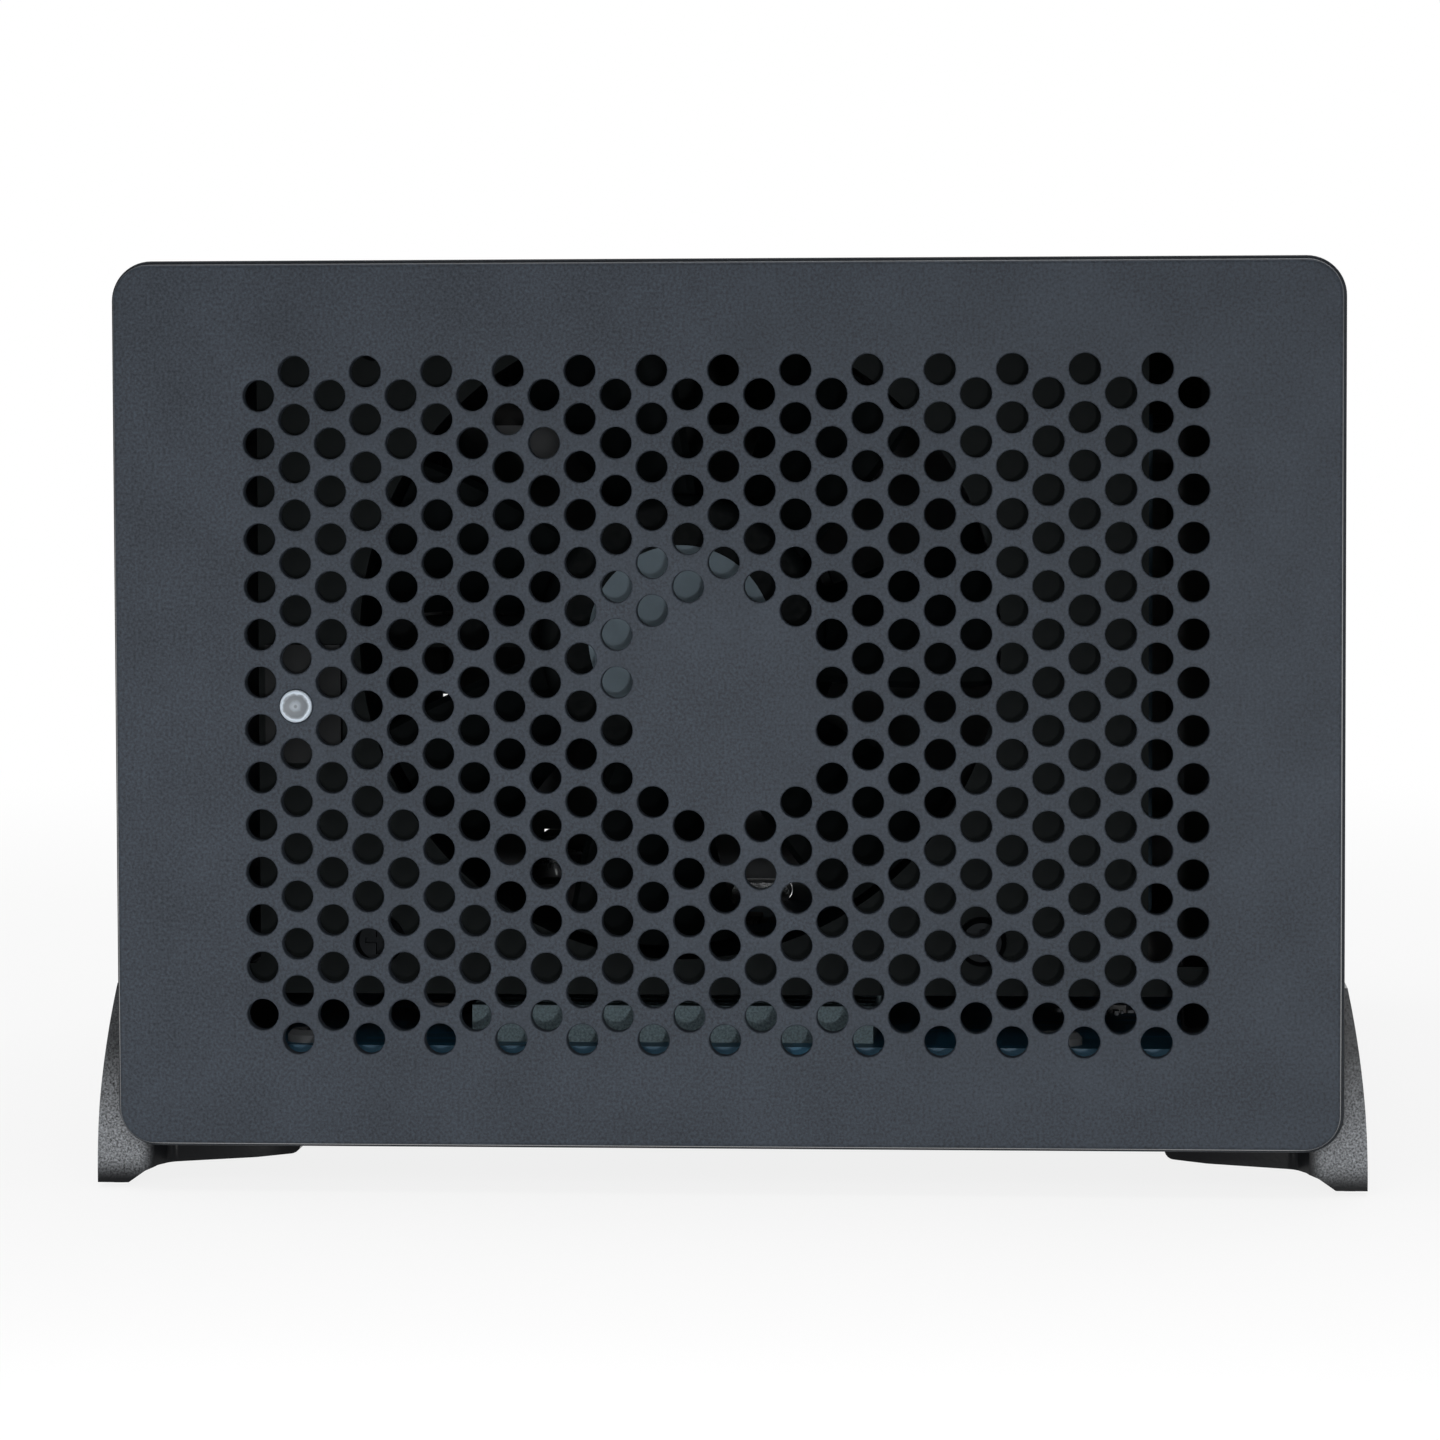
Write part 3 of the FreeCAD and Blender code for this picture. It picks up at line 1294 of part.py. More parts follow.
def make_fan_rotor():
    """Hub with swept blades; the tips are turned to the bore and the hub is hollow from behind."""
    rotor = fan_body("fan_rotor")
    hub = sheet_size("hub_radius")
    round_off = sheet_size("hub_wall")
    turn(rotor, "hub", [(0, HUB_START), (hub, HUB_START, round_off), (hub, HUB_END), (0, HUB_END)])
    tip = fan_bore - sheet_size("blade_tip_gap")
    sections = [
        blade_section(hub * 0.75, "root", 0),
        blade_section((hub + tip) / 2, "middle", sheet_size("blade_middle_sweep")),
        blade_section(tip + sheet_size("blade_thick"), "tip", sheet_size("blade_tip_sweep")),
    ]
    sketches = [new_sketch(rotor, "section", "YZ", radius, [loop]) for radius, loop in sections]
    blade = rotor.newObject("PartDesign::AdditiveLoft", "blade")
    blade.Profile = sketches[0]
    blade.Sections = sketches[1:]
    rotor.Tip = blade
    DOC.recompute()
    ring_of(rotor, "blades", blade, sheet_size("blade_count"))
    cut(rotor, "tip_turning", "XZ", -fan_size, fan_size, circle(0, 0, fan_size), circle(0, 0, tip))
    cut(rotor, "hub_hollow", "XZ", HUB_START + round_off, fan_size, circle(0, 0, hub - round_off))


def make_fan_motor():
    """Shaft, bearing, magnet ring and stator inside the hub, and the label on its face."""
    hub_inner = sheet_size("hub_radius") - sheet_size("hub_wall")
    cap = HUB_START + sheet_size("hub_wall")
    magnet_end = HUB_END - sheet_size("hub_wall")
    seat_end = sheet_size("fan_depth") - sheet_size("bearing_floor")
    shaft_radius = sheet_size("shaft_radius")
    shaft = fan_body("fan_shaft")
    add(shaft, "shaft", "XZ", cap, BASE_FRONT + sheet_size("bearing_floor"), circle(0, 0, shaft_radius))
    bearing = fan_body("fan_bearing")
    bore = circle(0, 0, shaft_radius + sheet_size("running_gap"))
    bearing_front = cap + sheet_size("hub_wall") * 2
    add(bearing, "bush", "XZ", bearing_front, seat_end, circle(0, 0, sheet_size("bearing_radius")), bore)
    magnet = fan_body("fan_magnet")
    magnet_inner = hub_inner - sheet_size("hub_wall")
    add(magnet, "ring", "XZ", cap, magnet_end, circle(0, 0, hub_inner), circle(0, 0, magnet_inner))
    stator = fan_body("fan_stator")
    pole = magnet_inner - hole_gap * 2
    stator_front = bearing_front + sheet_size("hub_wall")
    eye = circle(0, 0, sheet_size("bearing_radius") + fit_gap / 2)
    add(stator, "core", "XZ", stator_front, BASE_FRONT, circle(0, 0, pole), eye)
    slit = pole * 0.16
    winding = outline([
        (pole * 0.5, -slit * 2), (pole * 0.85, -slit * 2), (pole * 0.85, -slit), (pole * 1.1, -slit),
        (pole * 1.1, slit), (pole * 0.85, slit), (pole * 0.85, slit * 2), (pole * 0.5, slit * 2),
    ])
    gap = cut(stator, "winding_gap", "XZ", stator_front, magnet_end, winding)
    ring_of(stator, "winding_gaps", gap, as_size(4))
    label = fan_body("fan_label")
    label_front = HUB_START - sheet_size("label_thick")
    add(label, "disc", "XZ", label_front, HUB_START, circle(0, 0, sheet_size("label_radius")))


def make_thumbscrews():
    """Fluted thumbscrews with a collar on the rear wall and a driver slot."""
    head = sheet_size("thumb_head")
    length = sheet_size("thumb_head_length")
    shank = sheet_size("thumb_shank")
    shank_length = sheet_size("thumb_shank_length")
    collar = (head + shank) / 2
    step = tray_sheet
    top = step + length
    flute = head / 8
    for label, side in (("thumbscrew_left", -1), ("thumbscrew_right", 1)):
        screw = node(new_body(label))
        turn(screw, "screw", [
            (0, -shank_length), (shank, -shank_length), (shank, fit_gap), (collar, fit_gap), (collar, step),
            (head, step), (head, top - flute), (head - flute, top), (0, top),
        ])
        groove = cut(screw, "flute", "XZ", step, top, circle(head, 0, flute))
        ring_of(screw, "flutes", groove, as_size(16))
        half = head + flute
        cut(screw, "driver_slot", "XZ", top - flute * 2, top, box(-half, -flute, half, flute))
        place_body(screw, side * thumb_x, wall_out, thumb_z)
    DOC.recompute()


def check_and_write():
    """Stop on any failed object or bad solid, then write one file per piece."""
    DOC.recompute()
    for thing in DOC.Objects:
        if "Invalid" in thing.State or "Error" in thing.State:
            raise RuntimeError("failed: %s %s" % (thing.Label, thing.State))
    for piece in NODES:
        if piece.Shape.isNull() or not piece.Shape.isValid() or piece.Shape.Volume <= 0:
            raise RuntimeError("bad shape: " + piece.Label)
    os.makedirs("parts", exist_ok=True)
    for piece in NODES:
        piece.Shape.exportStep("parts/%s.step" % piece.Label)


make_front_panel()
make_outer_sleeve()
make_panel_nuts()
make_status_lens()
make_feet()
make_foot_screws()
make_thumb_brackets()
make_tray()
make_dust_gauze()
make_fan_bracket()
make_tray_screws()
make_slot_covers()
make_main_board()
make_controller()
make_ports()
make_riser()
make_power_parts()
make_status_light()
make_fan_frame()
make_fan_rotor()
make_fan_motor()
make_thumbscrews()
check_and_write()
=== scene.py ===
import json
import math

import bmesh
import bpy
import numpy as np
from bpy.props import FloatProperty, FloatVectorProperty, IntProperty, PointerProperty
from bpy.types import Operator, Panel, PropertyGroup
from mathutils import Matrix, Vector

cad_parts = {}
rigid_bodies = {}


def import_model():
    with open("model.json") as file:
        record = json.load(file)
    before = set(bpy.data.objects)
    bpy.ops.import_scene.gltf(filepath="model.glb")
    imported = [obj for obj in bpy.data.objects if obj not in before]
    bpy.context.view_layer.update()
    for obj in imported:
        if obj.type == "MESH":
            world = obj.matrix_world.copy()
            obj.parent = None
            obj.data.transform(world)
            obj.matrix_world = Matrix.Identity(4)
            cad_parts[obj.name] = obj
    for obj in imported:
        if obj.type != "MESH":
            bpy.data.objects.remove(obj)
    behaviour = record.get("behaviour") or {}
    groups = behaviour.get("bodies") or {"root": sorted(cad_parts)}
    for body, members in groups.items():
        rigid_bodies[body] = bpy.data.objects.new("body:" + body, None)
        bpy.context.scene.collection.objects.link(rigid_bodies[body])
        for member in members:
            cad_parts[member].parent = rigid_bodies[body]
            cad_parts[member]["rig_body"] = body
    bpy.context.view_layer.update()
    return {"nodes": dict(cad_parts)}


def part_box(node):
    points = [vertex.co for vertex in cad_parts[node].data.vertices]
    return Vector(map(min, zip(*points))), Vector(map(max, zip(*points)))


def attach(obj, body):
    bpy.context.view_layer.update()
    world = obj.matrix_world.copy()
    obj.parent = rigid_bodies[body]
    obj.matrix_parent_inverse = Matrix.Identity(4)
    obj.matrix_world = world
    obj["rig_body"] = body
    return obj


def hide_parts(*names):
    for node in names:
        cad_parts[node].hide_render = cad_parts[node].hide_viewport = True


bl_info = {
    "name": "Expansion chassis dressing",
    "version": (1, 0, 0),
    "blender": (4, 5, 0),
    "location": "View3D > Sidebar > Chassis",
    "description": "Skins, finishes and studio for a small card expansion chassis",
    "category": "Object",
}

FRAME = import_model()
NODES = FRAME["nodes"]
MM = 0.001

PANEL_LOW, PANEL_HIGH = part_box("front_panel")
SLEEVE_LOW, SLEEVE_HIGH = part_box("outer_sleeve")
LENS_LOW, LENS_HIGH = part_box("status_lens")
FEET = ["foot_front_left", "foot_front_right", "foot_rear_left", "foot_rear_right"]


def srgb(code):
    """Linear red, green and blue of an sRGB hex colour."""
    channels = [int(code[i:i + 2], 16) / 255 for i in (1, 3, 5)]
    return tuple(c / 12.92 if c <= 0.04045 else ((c + 0.055) / 1.055) ** 2.4 for c in channels)


def length(name, description, default):
    """A length property in metres."""
    return FloatProperty(name=name, description=description, default=default, unit="LENGTH", precision=5)


def factor(name, description, default):
    """A share from nothing to one."""
    return FloatProperty(name=name, description=description, default=default, subtype="FACTOR", min=0, max=1)


def power(name, description, default):
    """A lamp's power in watts."""
    return FloatProperty(name=name, description=description + " in watts", default=default, min=0)


def count(name, description, default):
    """A whole number."""
    return IntProperty(name=name, description=description, default=default)


def colour(name, description, code):
    """A colour property whose default is given as an sRGB hex value."""
    return FloatVectorProperty(name=name, description=description, default=srgb(code), subtype="COLOR",
                               size=3, min=0, max=1)


class PanelSizes(PropertyGroup):
    """Perforated front panel."""
    edge_round: length("Edge rounding", "Radius along the panel's front edge", 0.5 * MM)
    corner: length("Corner", "Radius of the panel's corners", 4.25 * MM)
    cut_edge: length("Cut edge", "Width of the bright cut along the panel's outline", 0.13 * MM)
    hole_radius: length("Hole radius", "Radius of one air hole", 1.85 * MM)
    hole_round: length("Hole rim", "Rounding of an air hole's rim", 0.2 * MM)
    column_pitch: length("Column pitch", "Distance between columns of holes", 4.2 * MM)
    half_row: length("Half row", "Height between a hole and its neighbour in the next column", 2.8 * MM)
    columns: count("Columns", "Columns of holes each side of the middle", 13)
    half_rows: count("Half rows", "Half rows of holes above the middle", 14)
    bare_columns: count("Bare columns", "Half width of the bare middle, in columns", 2)
    bare_reach: count("Bare reach", "Reach of the bare middle, columns and half rows", 4)
    lens_column: count("Lens column", "Column whose middle hole holds the lens", -12)
    lens_hole: length("Lens hole", "Radius of the hole that holds the lens", 1.95 * MM)
    stud_radius: length("Stud radius", "Radius of the studs behind the panel", 1.5 * MM)
    stud_from_side: length("Stud from side", "Distance of a stud from the sleeve's side", 12.0 * MM)
    stud_from_edge: length("Stud from edge", "Distance of a stud from the sleeve's top or bottom", 5.6 * MM)


class SleeveSizes(PropertyGroup):
    """Wrapped outer sleeve."""
    wall: length("Wall", "Thickness of the sleeve's sheet", 1.6 * MM)
    corner: length("Corner", "Outer radius of the sleeve's bends", 4.7 * MM)
    lip_round: length("Lip rounding", "Rounding of the sheet's cut edges", 0.3 * MM)
    flange_height: length("Flange height", "Height of the turned-in front flanges", 9.5 * MM)
    flange_margin: length("Flange margin", "Distance of a flange's end from the side", 7.0 * MM)


class FootSizes(PropertyGroup):
    """Corner feet."""
    edge_round: length("Edge rounding", "Rounding of a foot's moulded edges", 0.3 * MM)
    grain: length("Grain", "Size of the spark-eroded grain", 0.26 * MM)
    block: length("Block", "Distance from the middle at which a foot's grained block begins", 69.2 * MM)
    wing_start: length("Wing start", "Height at which a foot's outer side starts to lean in", 2.0 * MM)
    wing_lean: factor("Wing lean", "Share of the backward lean that a wing's end keeps", 0.25)


class BoardSizes(PropertyGroup):
    """Small parts on the main board."""
    chip_columns: count("Chip columns", "Columns of chips across the board", 4)
    chip_rows: count("Chip rows", "Rows of chips along the board", 8)
    chip: length("Chip", "Width of a middling chip", 7.0 * MM)
    chip_height: length("Chip height", "Height of a chip above the board", 1.1 * MM)
    front_margin: length("Front margin", "Bare strip kept along the board's front edge", 18.0 * MM)
    skirt: length("Skirt", "Room kept round a chip for its small parts", 2.6 * MM)
    lead: length("Lead", "Length of a chip's lead", 0.7 * MM)
    passive: length("Small part", "Length of a resistor or capacitor", 1.2 * MM)


class Finishes(PropertyGroup):
    """Colours of the chassis."""
    panel: colour("Front panel", "Dyed anodised aluminium of the front", "#363c44")
    # The bare cut is pale metal along the outline; edge_band dims it towards the top, painted shade.
    cut: colour("Cut edge", "Bare aluminium along the panel's outline", "#858687")
    sleeve: colour("Sleeve", "Dyed anodised aluminium of the sleeve", "#2a2e33")
    foot: colour("Feet", "Black moulded plastic of the feet", "#17181a")
    # Painted glint: a pale colour for the crests of the feet's grain, standing in for light glinting on them.
    painted_glint: colour("Feet crests", "Rubbed crests of the feet's grain", "#a9adb2")
    pad: colour("Pads", "Rubber under the feet", "#1c1d1e")
    zinc: colour("Zinc", "Zinc-plated steel sheet and screws", "#8e9194")
    oxide: colour("Black oxide", "Blackened screws", "#202224")
    coat: colour("Powder coat", "Coat of the fan plate", "#0e1415")
    fan: colour("Fan plastic", "Moulded fan frame and blades", "#0b0f10")
    label: colour("Hub label", "Paper disc on the fan's hub", "#6c7c86")
    mask: colour("Solder mask", "Mask of the boards", "#225a76")
    black_mask: colour("Black mask", "Mask of the small light board", "#15181a")
    spreader: colour("Spreader", "Natural anodised heat spreader", "#65767c")
    lens: colour("Lens", "Milky plastic of the status lens", "#b9c4cf")
    connector: colour("Connectors", "Black moulded connector bodies", "#17181a")
    gauze: colour("Gauze", "Black woven gauze over the rear slots", "#0f1011")
    chip: colour("Chips", "Moulded chip epoxy", "#1b1c1e")
    solder: colour("Solder", "Tinned leads and ends of small parts", "#8f9397")
    ferrite: colour("Ferrite", "Ferrite of the choke and the fan's motor", "#3a3a3b")
    shell: colour("Port shells", "Bright plated shells of the ports", "#b4b7ba")
    can: colour("Cans", "Aluminium cans of the capacitors", "#b9bcc0")
    light: colour("Light", "Clear plastic of the status light", "#e4ecf2")
    bronze: colour("Bronze", "Sintered bearing of the fan", "#a8894a")


class Studio(PropertyGroup):
    """Camera, floor and lamps."""
    place: FloatVectorProperty(name="Camera place", description="Where the camera stands", size=3,
                               default=(0.0416, -0.7033, 0.0882), unit="LENGTH", precision=4)
    turn: FloatVectorProperty(name="Camera turn", description="Yaw, pitch and roll of the camera", size=3,
                              default=tuple(math.radians(a) for a in (-4.042, -3.099, -0.17)),
                              subtype="EULER", precision=4)
    lens_mm: FloatProperty(name="Lens", description="Focal length in millimetres on a 36 mm sensor",
                           default=128.0)
    floor_half: length("Floor", "Half the width of the floor", 30.0)
    clear: length("Floor fade start", "Distance at which the floor starts to fade to white", 0.22)
    white: length("Floor fade end", "Distance at which the floor is white", 0.7)
    key: power("Key", "Power of the small lamp beside the camera", 2.4)
    low: power("Low", "Power of the low lamp at the left", 0.14)
    front: power("Front", "Power of the lamp over the floor in front", 0.8)
    top: power("Top", "Power of each large soft lamp", 5.0)
    fill: FloatProperty(name="Fill", description="Strength of the light all round", default=0.2)
    floor_shadow: factor("Floor shadow", "How much of the shadow the floor shows", 0.15)


# Each lamp's place, the point it faces and its width in metres, which power it takes and how much of it
LAMPS = {
    "key_lamp": ((0.139, -1.308, 0.03), (0, -0.108, 0.06), 0.03, "key", 1),
    "low_left_lamp": ((-0.28, -0.36, 0.02), (-0.02, -0.108, 0.02), 0.03, "low", 1),
    "low_right_lamp": ((0.3, -0.36, 0.02), (0.02, -0.108, 0.02), 0.03, "low", 0.5),
    "front_lamp": ((0, -0.42, 0.12), (0, -0.42, 0), 0.24, "front", 1),
    "top_lamp": ((-0.1, -0.02, 1.0), (-0.05, -0.1, 0), 0.9, "top", 1),
    "back_lamp": ((0.3, 1.1, 0.9), (0, 0.1, 0.06), 0.8, "top", 1),
}


# Meshes

def middle_half(low, high):
    """Middle and half size of a box, as arrays of X, Y and Z."""
    low, high = np.array(low), np.array(high)
    return (low + high) / 2, (high - low) / 2


def upright(flat, y):
    """Points with (x, z) from an array and depths y."""
    return np.stack([flat[..., 0], np.broadcast_to(y, flat.shape[:-1]), flat[..., 1]], -1)


def mesh_object(name, points, faces, sharp_angle=35):
    """Object from welded points and faces, smooth except across edges sharper than an angle in degrees."""
    steps_per_metre = 1e7
    points = np.asarray(points, float).reshape(-1, 3)
    grid = np.round(points * steps_per_metre).astype(np.int64)
    _, first, place = np.unique(grid, axis=0, return_index=True, return_inverse=True)
    place = place.ravel()
    kept = points[first]
    polygons = []
    for group in faces:
        loops = place[np.asarray(group)]
        doubled = loops == np.roll(loops, -1, axis=1)
        spare = doubled.sum(axis=1)
        polygons += loops[spare == 0].tolist()
        polygons += loops[spare == 1][~doubled[spare == 1]].reshape(-1, loops.shape[1] - 1).tolist()
    mesh = bpy.data.meshes.new(name)
    mesh.from_pydata(kept.tolist(), [], polygons)
    mesh.shade_smooth()
    mesh.set_sharp_from_angle(angle=math.radians(sharp_angle))
    mesh.validate()
    piece = bpy.data.objects.new(name, mesh)
    bpy.context.scene.collection.objects.link(piece)
    return piece


class Builder:
    """Collects blocks of points and faces for one mesh."""

    def __init__(self):
        self.points = []
        self.faces = []
        self.count = 0

    def block(self, points):
        """Keeps an array of points and returns their indices in the array's own shape."""
        points = np.asarray(points, float)
        index = np.arange(points[..., 0].size).reshape(points.shape[:-1]) + self.count
        self.points.append(points.reshape(-1, 3))
        self.count += index.size
        return index

    def bands(self, index):
        """Quads between the rows of (..., rows, around) indices; clockwise rows run outwards to inwards."""
        following = np.roll(index, -1, axis=-1)
        first, second = index[..., :-1, :], index[..., 1:, :]
        first_next, second_next = following[..., :-1, :], following[..., 1:, :]
        quads = np.stack([first, second, second_next, first_next], -1)
        self.faces.append(quads.reshape(-1, 4))

    def caps(self, index, flip=False):
        """One polygon for each loop of (..., around) indices."""
        loops = index.reshape(-1, index.shape[-1])
        self.faces.append(loops[:, ::-1] if flip else loops)

    def make(self, name, sharp_angle=35):
        """The welded object."""
        return mesh_object(name, np.concatenate(self.points), self.faces, sharp_angle)


def quarter(steps):
    """Sine and cosine of angles from 0 to 90 degrees."""
    angle = np.linspace(0, math.pi / 2, steps + 1)
    return np.sin(angle), np.cos(angle)


def rounded_loop(core_x, core_z, along_x, along_z, steps):
    """Clockwise loop round a rectangle: feet on the rectangle of arc centres, and outward normals.

    along_x runs left to right on the top side and along_z top to bottom on the right side.
    The point at an inset is its foot plus its normal times the corner radius less the inset.
    """
    sine, cosine = quarter(steps)
    sine, cosine = sine[1:-1], cosine[1:-1]
    parts = [
        (along_x, core_z, 0, 1),
        (core_x, core_z, sine, cosine),
        (core_x, along_z, 1, 0),
        (core_x, -core_z, cosine, -sine),
        (along_x[::-1], -core_z, 0, -1),
        (-core_x, -core_z, -sine, -cosine),
        (-core_x, along_z[::-1], -1, 0),
        (-core_x, core_z, -cosine, sine),
    ]
    loop = np.concatenate([np.stack(np.broadcast_arrays(*part), -1) for part in parts])
    return loop[:, :2], loop[:, 2:]


def carried(feet, normals, corner, profile, centre):
    """Points of a profile of (inset, y) carried along a loop: rows follow the profile."""
    profile = np.asarray(profile, float)
    flat = feet[None] + normals[None] * (corner - profile[:, 0])[:, None, None]
    return upright(flat + np.asarray(centre), profile[:, 1:])


def plain_loop(half_x, half_z, corner, steps):
    """Rounded rectangle loop whose straight sides are single runs."""
    core_x, core_z = half_x - corner, half_z - corner
    return rounded_loop(core_x, core_z, np.array([-core_x, core_x]), np.array([core_z, -core_z]), steps)


def turned(profile, steps):
    """Points of a profile of (radius, y) turned about the Y axis, clockwise seen from the front."""
    profile = np.asarray(profile, float)
    angle = math.pi / 2 - np.arange(steps) * (2 * math.pi / steps)
    radius, y = profile[:, :1], profile[:, 1:]
    return np.stack([radius * np.cos(angle), y + 0 * angle, radius * np.sin(angle)], -1)


def split(corners, parts):
    """Polyline with every run divided into equal parts; the last corner is left off."""
    share = np.arange(parts) / parts
    runs = corners[:-1, None] + (corners[1:] - corners[:-1])[:, None] * share[None, :, None]
    return runs.reshape(-1, 2)


def lattice(sizes):
    """Columns and half rows of the staggered holes, as two arrays."""
    column, row = np.meshgrid(np.arange(-sizes.columns, sizes.columns + 1),
                              np.arange(-sizes.half_rows, sizes.half_rows + 1), indexing="ij")
    kept = (column + row) % 2 == 0
    return column[kept], row[kept]


def front_panel_mesh(sizes):
    """Plate of hexagonal cells, each with a hole whose rim is rounded, inside a frame with a rounded edge.

    A cell is the part of the plate nearer to its hole than to any other, so the cells share their edges.
    Its rows go from the cell's edge over the rim, through the hole and out to the cell's edge behind.
    """
    parts = 4
    pitch, half_row = sizes.column_pitch, sizes.half_row
    face, back = PANEL_LOW.y, SLEEVE_LOW.y
    middle, (half_x, _, half_z) = middle_half(PANEL_LOW, PANEL_HIGH)
    middle = middle[[0, 2]]
    reach = (pitch ** 2 + half_row ** 2) / (2 * pitch)
    short = reach - half_row ** 2 / pitch
    hexagon = np.array([(-short, half_row), (short, half_row), (reach, 0), (short, -half_row),
                        (-short, -half_row), (-reach, 0), (-short, half_row)])
    edge = split(hexagon, parts)
    outward = edge / np.linalg.norm(edge, axis=1, keepdims=True)

    column, row = lattice(sizes)
    bare = (np.abs(column) <= sizes.bare_columns) & (np.abs(column) + np.abs(row) <= sizes.bare_reach)
    centres = middle + np.stack([column * pitch, row * half_row], -1)
    radius = np.where((column == sizes.lens_column) & (row == 0), sizes.lens_hole, sizes.hole_radius)

    builder = Builder()
    rim = sizes.hole_round
    sine, cosine = quarter(3)
    offsets = np.concatenate([rim * (1 - sine), [0.0]])
    depths = np.concatenate([face + rim * (1 - cosine), [back]])
    holed = centres[~bare]
    circles = (radius[~bare][:, None, None, None] + offsets[None, :, None, None]) * outward
    border = np.broadcast_to(edge, (len(holed), 1) + edge.shape)
    flat = np.concatenate([border, circles, border], 1) + holed[:, None, None]
    rows_y = np.concatenate([[face], depths, [back]])
    builder.bands(builder.block(upright(flat, rows_y[:, None])))

    plain = edge[None] + centres[bare][:, None]
    for y, flip in ((face, True), (back, False)):
        builder.caps(builder.block(upright(plain, y)), flip)

    columns = np.arange(-sizes.columns, sizes.columns + 1)
    tops = np.where((columns + sizes.half_rows) % 2 == 0, sizes.half_rows, sizes.half_rows - 1)
    heights = (tops + 1) * half_row
    top = np.stack([np.stack([columns * pitch - short, heights], -1),
                    np.stack([columns * pitch + short, heights], -1)], 1).reshape(-1, 2)
    last = heights[-1]
    levels = np.arange(int(round(2 * last / half_row)) + 1)
    side_x = sizes.columns * pitch + np.where(levels % 2 == 1, reach, short)
    side = np.stack([side_x, last - levels * half_row], -1)
    zone_top = np.concatenate([top[:1], split(top, parts), top[-1:], top[-1:]])
    zone_side = np.concatenate([side[:1], split(side, parts), side[-1:], side[-1:]])

    core_x, core_z = half_x - sizes.corner, half_z - sizes.corner
    steps = 12
    along_x = np.concatenate([[-core_x], zone_top[1:-1, 0], [core_x]])
    along_z = np.concatenate([[core_z], zone_side[1:-1, 1], [-core_z]])
    feet, normals = rounded_loop(core_x, core_z, along_x, along_z, steps)
    fan = np.ones((steps - 1, 1))
    flips = np.array([1, -1])
    zone = np.concatenate([
        zone_top, fan * zone_top[-1], zone_side, fan * zone_side[-1],
        zone_top[::-1] * flips, fan * (zone_top[0] * flips), zone_side[::-1] * -flips, fan * zone_top[0],
    ])
    sine, cosine = quarter(5)
    round_off = sizes.edge_round
    profile = np.stack([round_off * (1 - sine), face + round_off * (1 - cosine)], -1)
    profile = np.concatenate([profile, [[0.0, back]]])
    rim_points = carried(feet, normals, sizes.corner, profile, middle)
    zone_front = upright(zone + middle, face)
    zone_back = zone_front + np.array([0, back - face, 0])
    whole = builder.block(np.concatenate([zone_front[None], rim_points, zone_back[None]]))
    builder.bands(whole[::-1])

    stud_end = PANEL_HIGH.y
    thick = sizes.stud_radius
    chamfer = thick / 5
    stud = turned([(0, back - chamfer), (thick, back - chamfer), (thick, stud_end - chamfer),
                   (thick - chamfer, stud_end), (0, stud_end)], steps=20)
    stud_x = SLEEVE_HIGH.x - sizes.stud_from_side
    stud_z = [SLEEVE_LOW.z + sizes.stud_from_edge, SLEEVE_HIGH.z - sizes.stud_from_edge]
    spots = np.array([(x, 0, z) for x in (-stud_x, stud_x) for z in stud_z])
    studs = builder.block(stud[None] + spots[:, None, None])
    builder.bands(studs[:, ::-1])
    return builder


def sleeve_mesh(sizes):
    """Wrapped sheet: a closed lip profile carried round a rounded rectangle, with two turned-in flanges."""
    front, rear = SLEEVE_LOW.y, SLEEVE_HIGH.y
    middle, (half_x, _, half_z) = middle_half(SLEEVE_LOW, SLEEVE_HIGH)
    lip, wall = sizes.lip_round, sizes.wall
    sine, cosine = quarter(4)
    rise, fall = lip * (1 - sine), lip * (1 - cosine)
    profile = np.concatenate([
        np.stack([rise, front + fall], -1), np.stack([fall, rear - rise], -1),
        np.stack([wall - rise, rear - fall], -1), np.stack([wall - fall, front + rise], -1),
        [[lip, front]],
    ])
    builder = Builder()
    feet, normals = plain_loop(half_x, half_z, sizes.corner, steps=14)
    builder.bands(builder.block(carried(feet, normals, sizes.corner, profile, middle[[0, 2]]))[::-1])

    corner = 1.5 * MM
    edge = lip / 2
    tall = (sizes.flange_height - wall) / 2 + edge
    feet, normals = plain_loop(half_x - sizes.flange_margin, tall, corner, steps=5)
    profile = [(edge, front), (0, front + edge), (0, front + wall - edge), (edge, front + wall)]
    for z in (SLEEVE_LOW.z + sizes.flange_height - tall, SLEEVE_HIGH.z - sizes.flange_height + tall):
        flange = builder.block(carried(feet, normals, corner, profile, (middle[0], z)))
        builder.bands(flange[::-1])
        builder.caps(flange[0], flip=True)
        builder.caps(flange[-1])
    return builder


def lens_mesh():
    """Light pipe: a profile with a dished face, a raised rim and a straight body, turned about its axis."""
    centre, (radius, _, _) = middle_half(LENS_LOW, LENS_HIGH)
    front, rear = LENS_LOW.y, LENS_HIGH.y
    share = np.linspace(0, 1, 9)
    inner, dip, drop = 0.76 * radius, 0.1 * MM, 0.25 * MM
    dish = np.stack([inner * share, front + dip * (1 - share ** 2)], -1)
    sine, cosine = quarter(6)
    rim = np.stack([inner + (radius - inner) * sine, front + drop * (1 - cosine)], -1)
    profile = np.concatenate([dish, rim[1:], [[radius, rear], [0, rear]]])
    builder = Builder()
    builder.bands(builder.block(turned(profile, steps=40) + centre * (1, 0, 1))[::-1])
    return builder


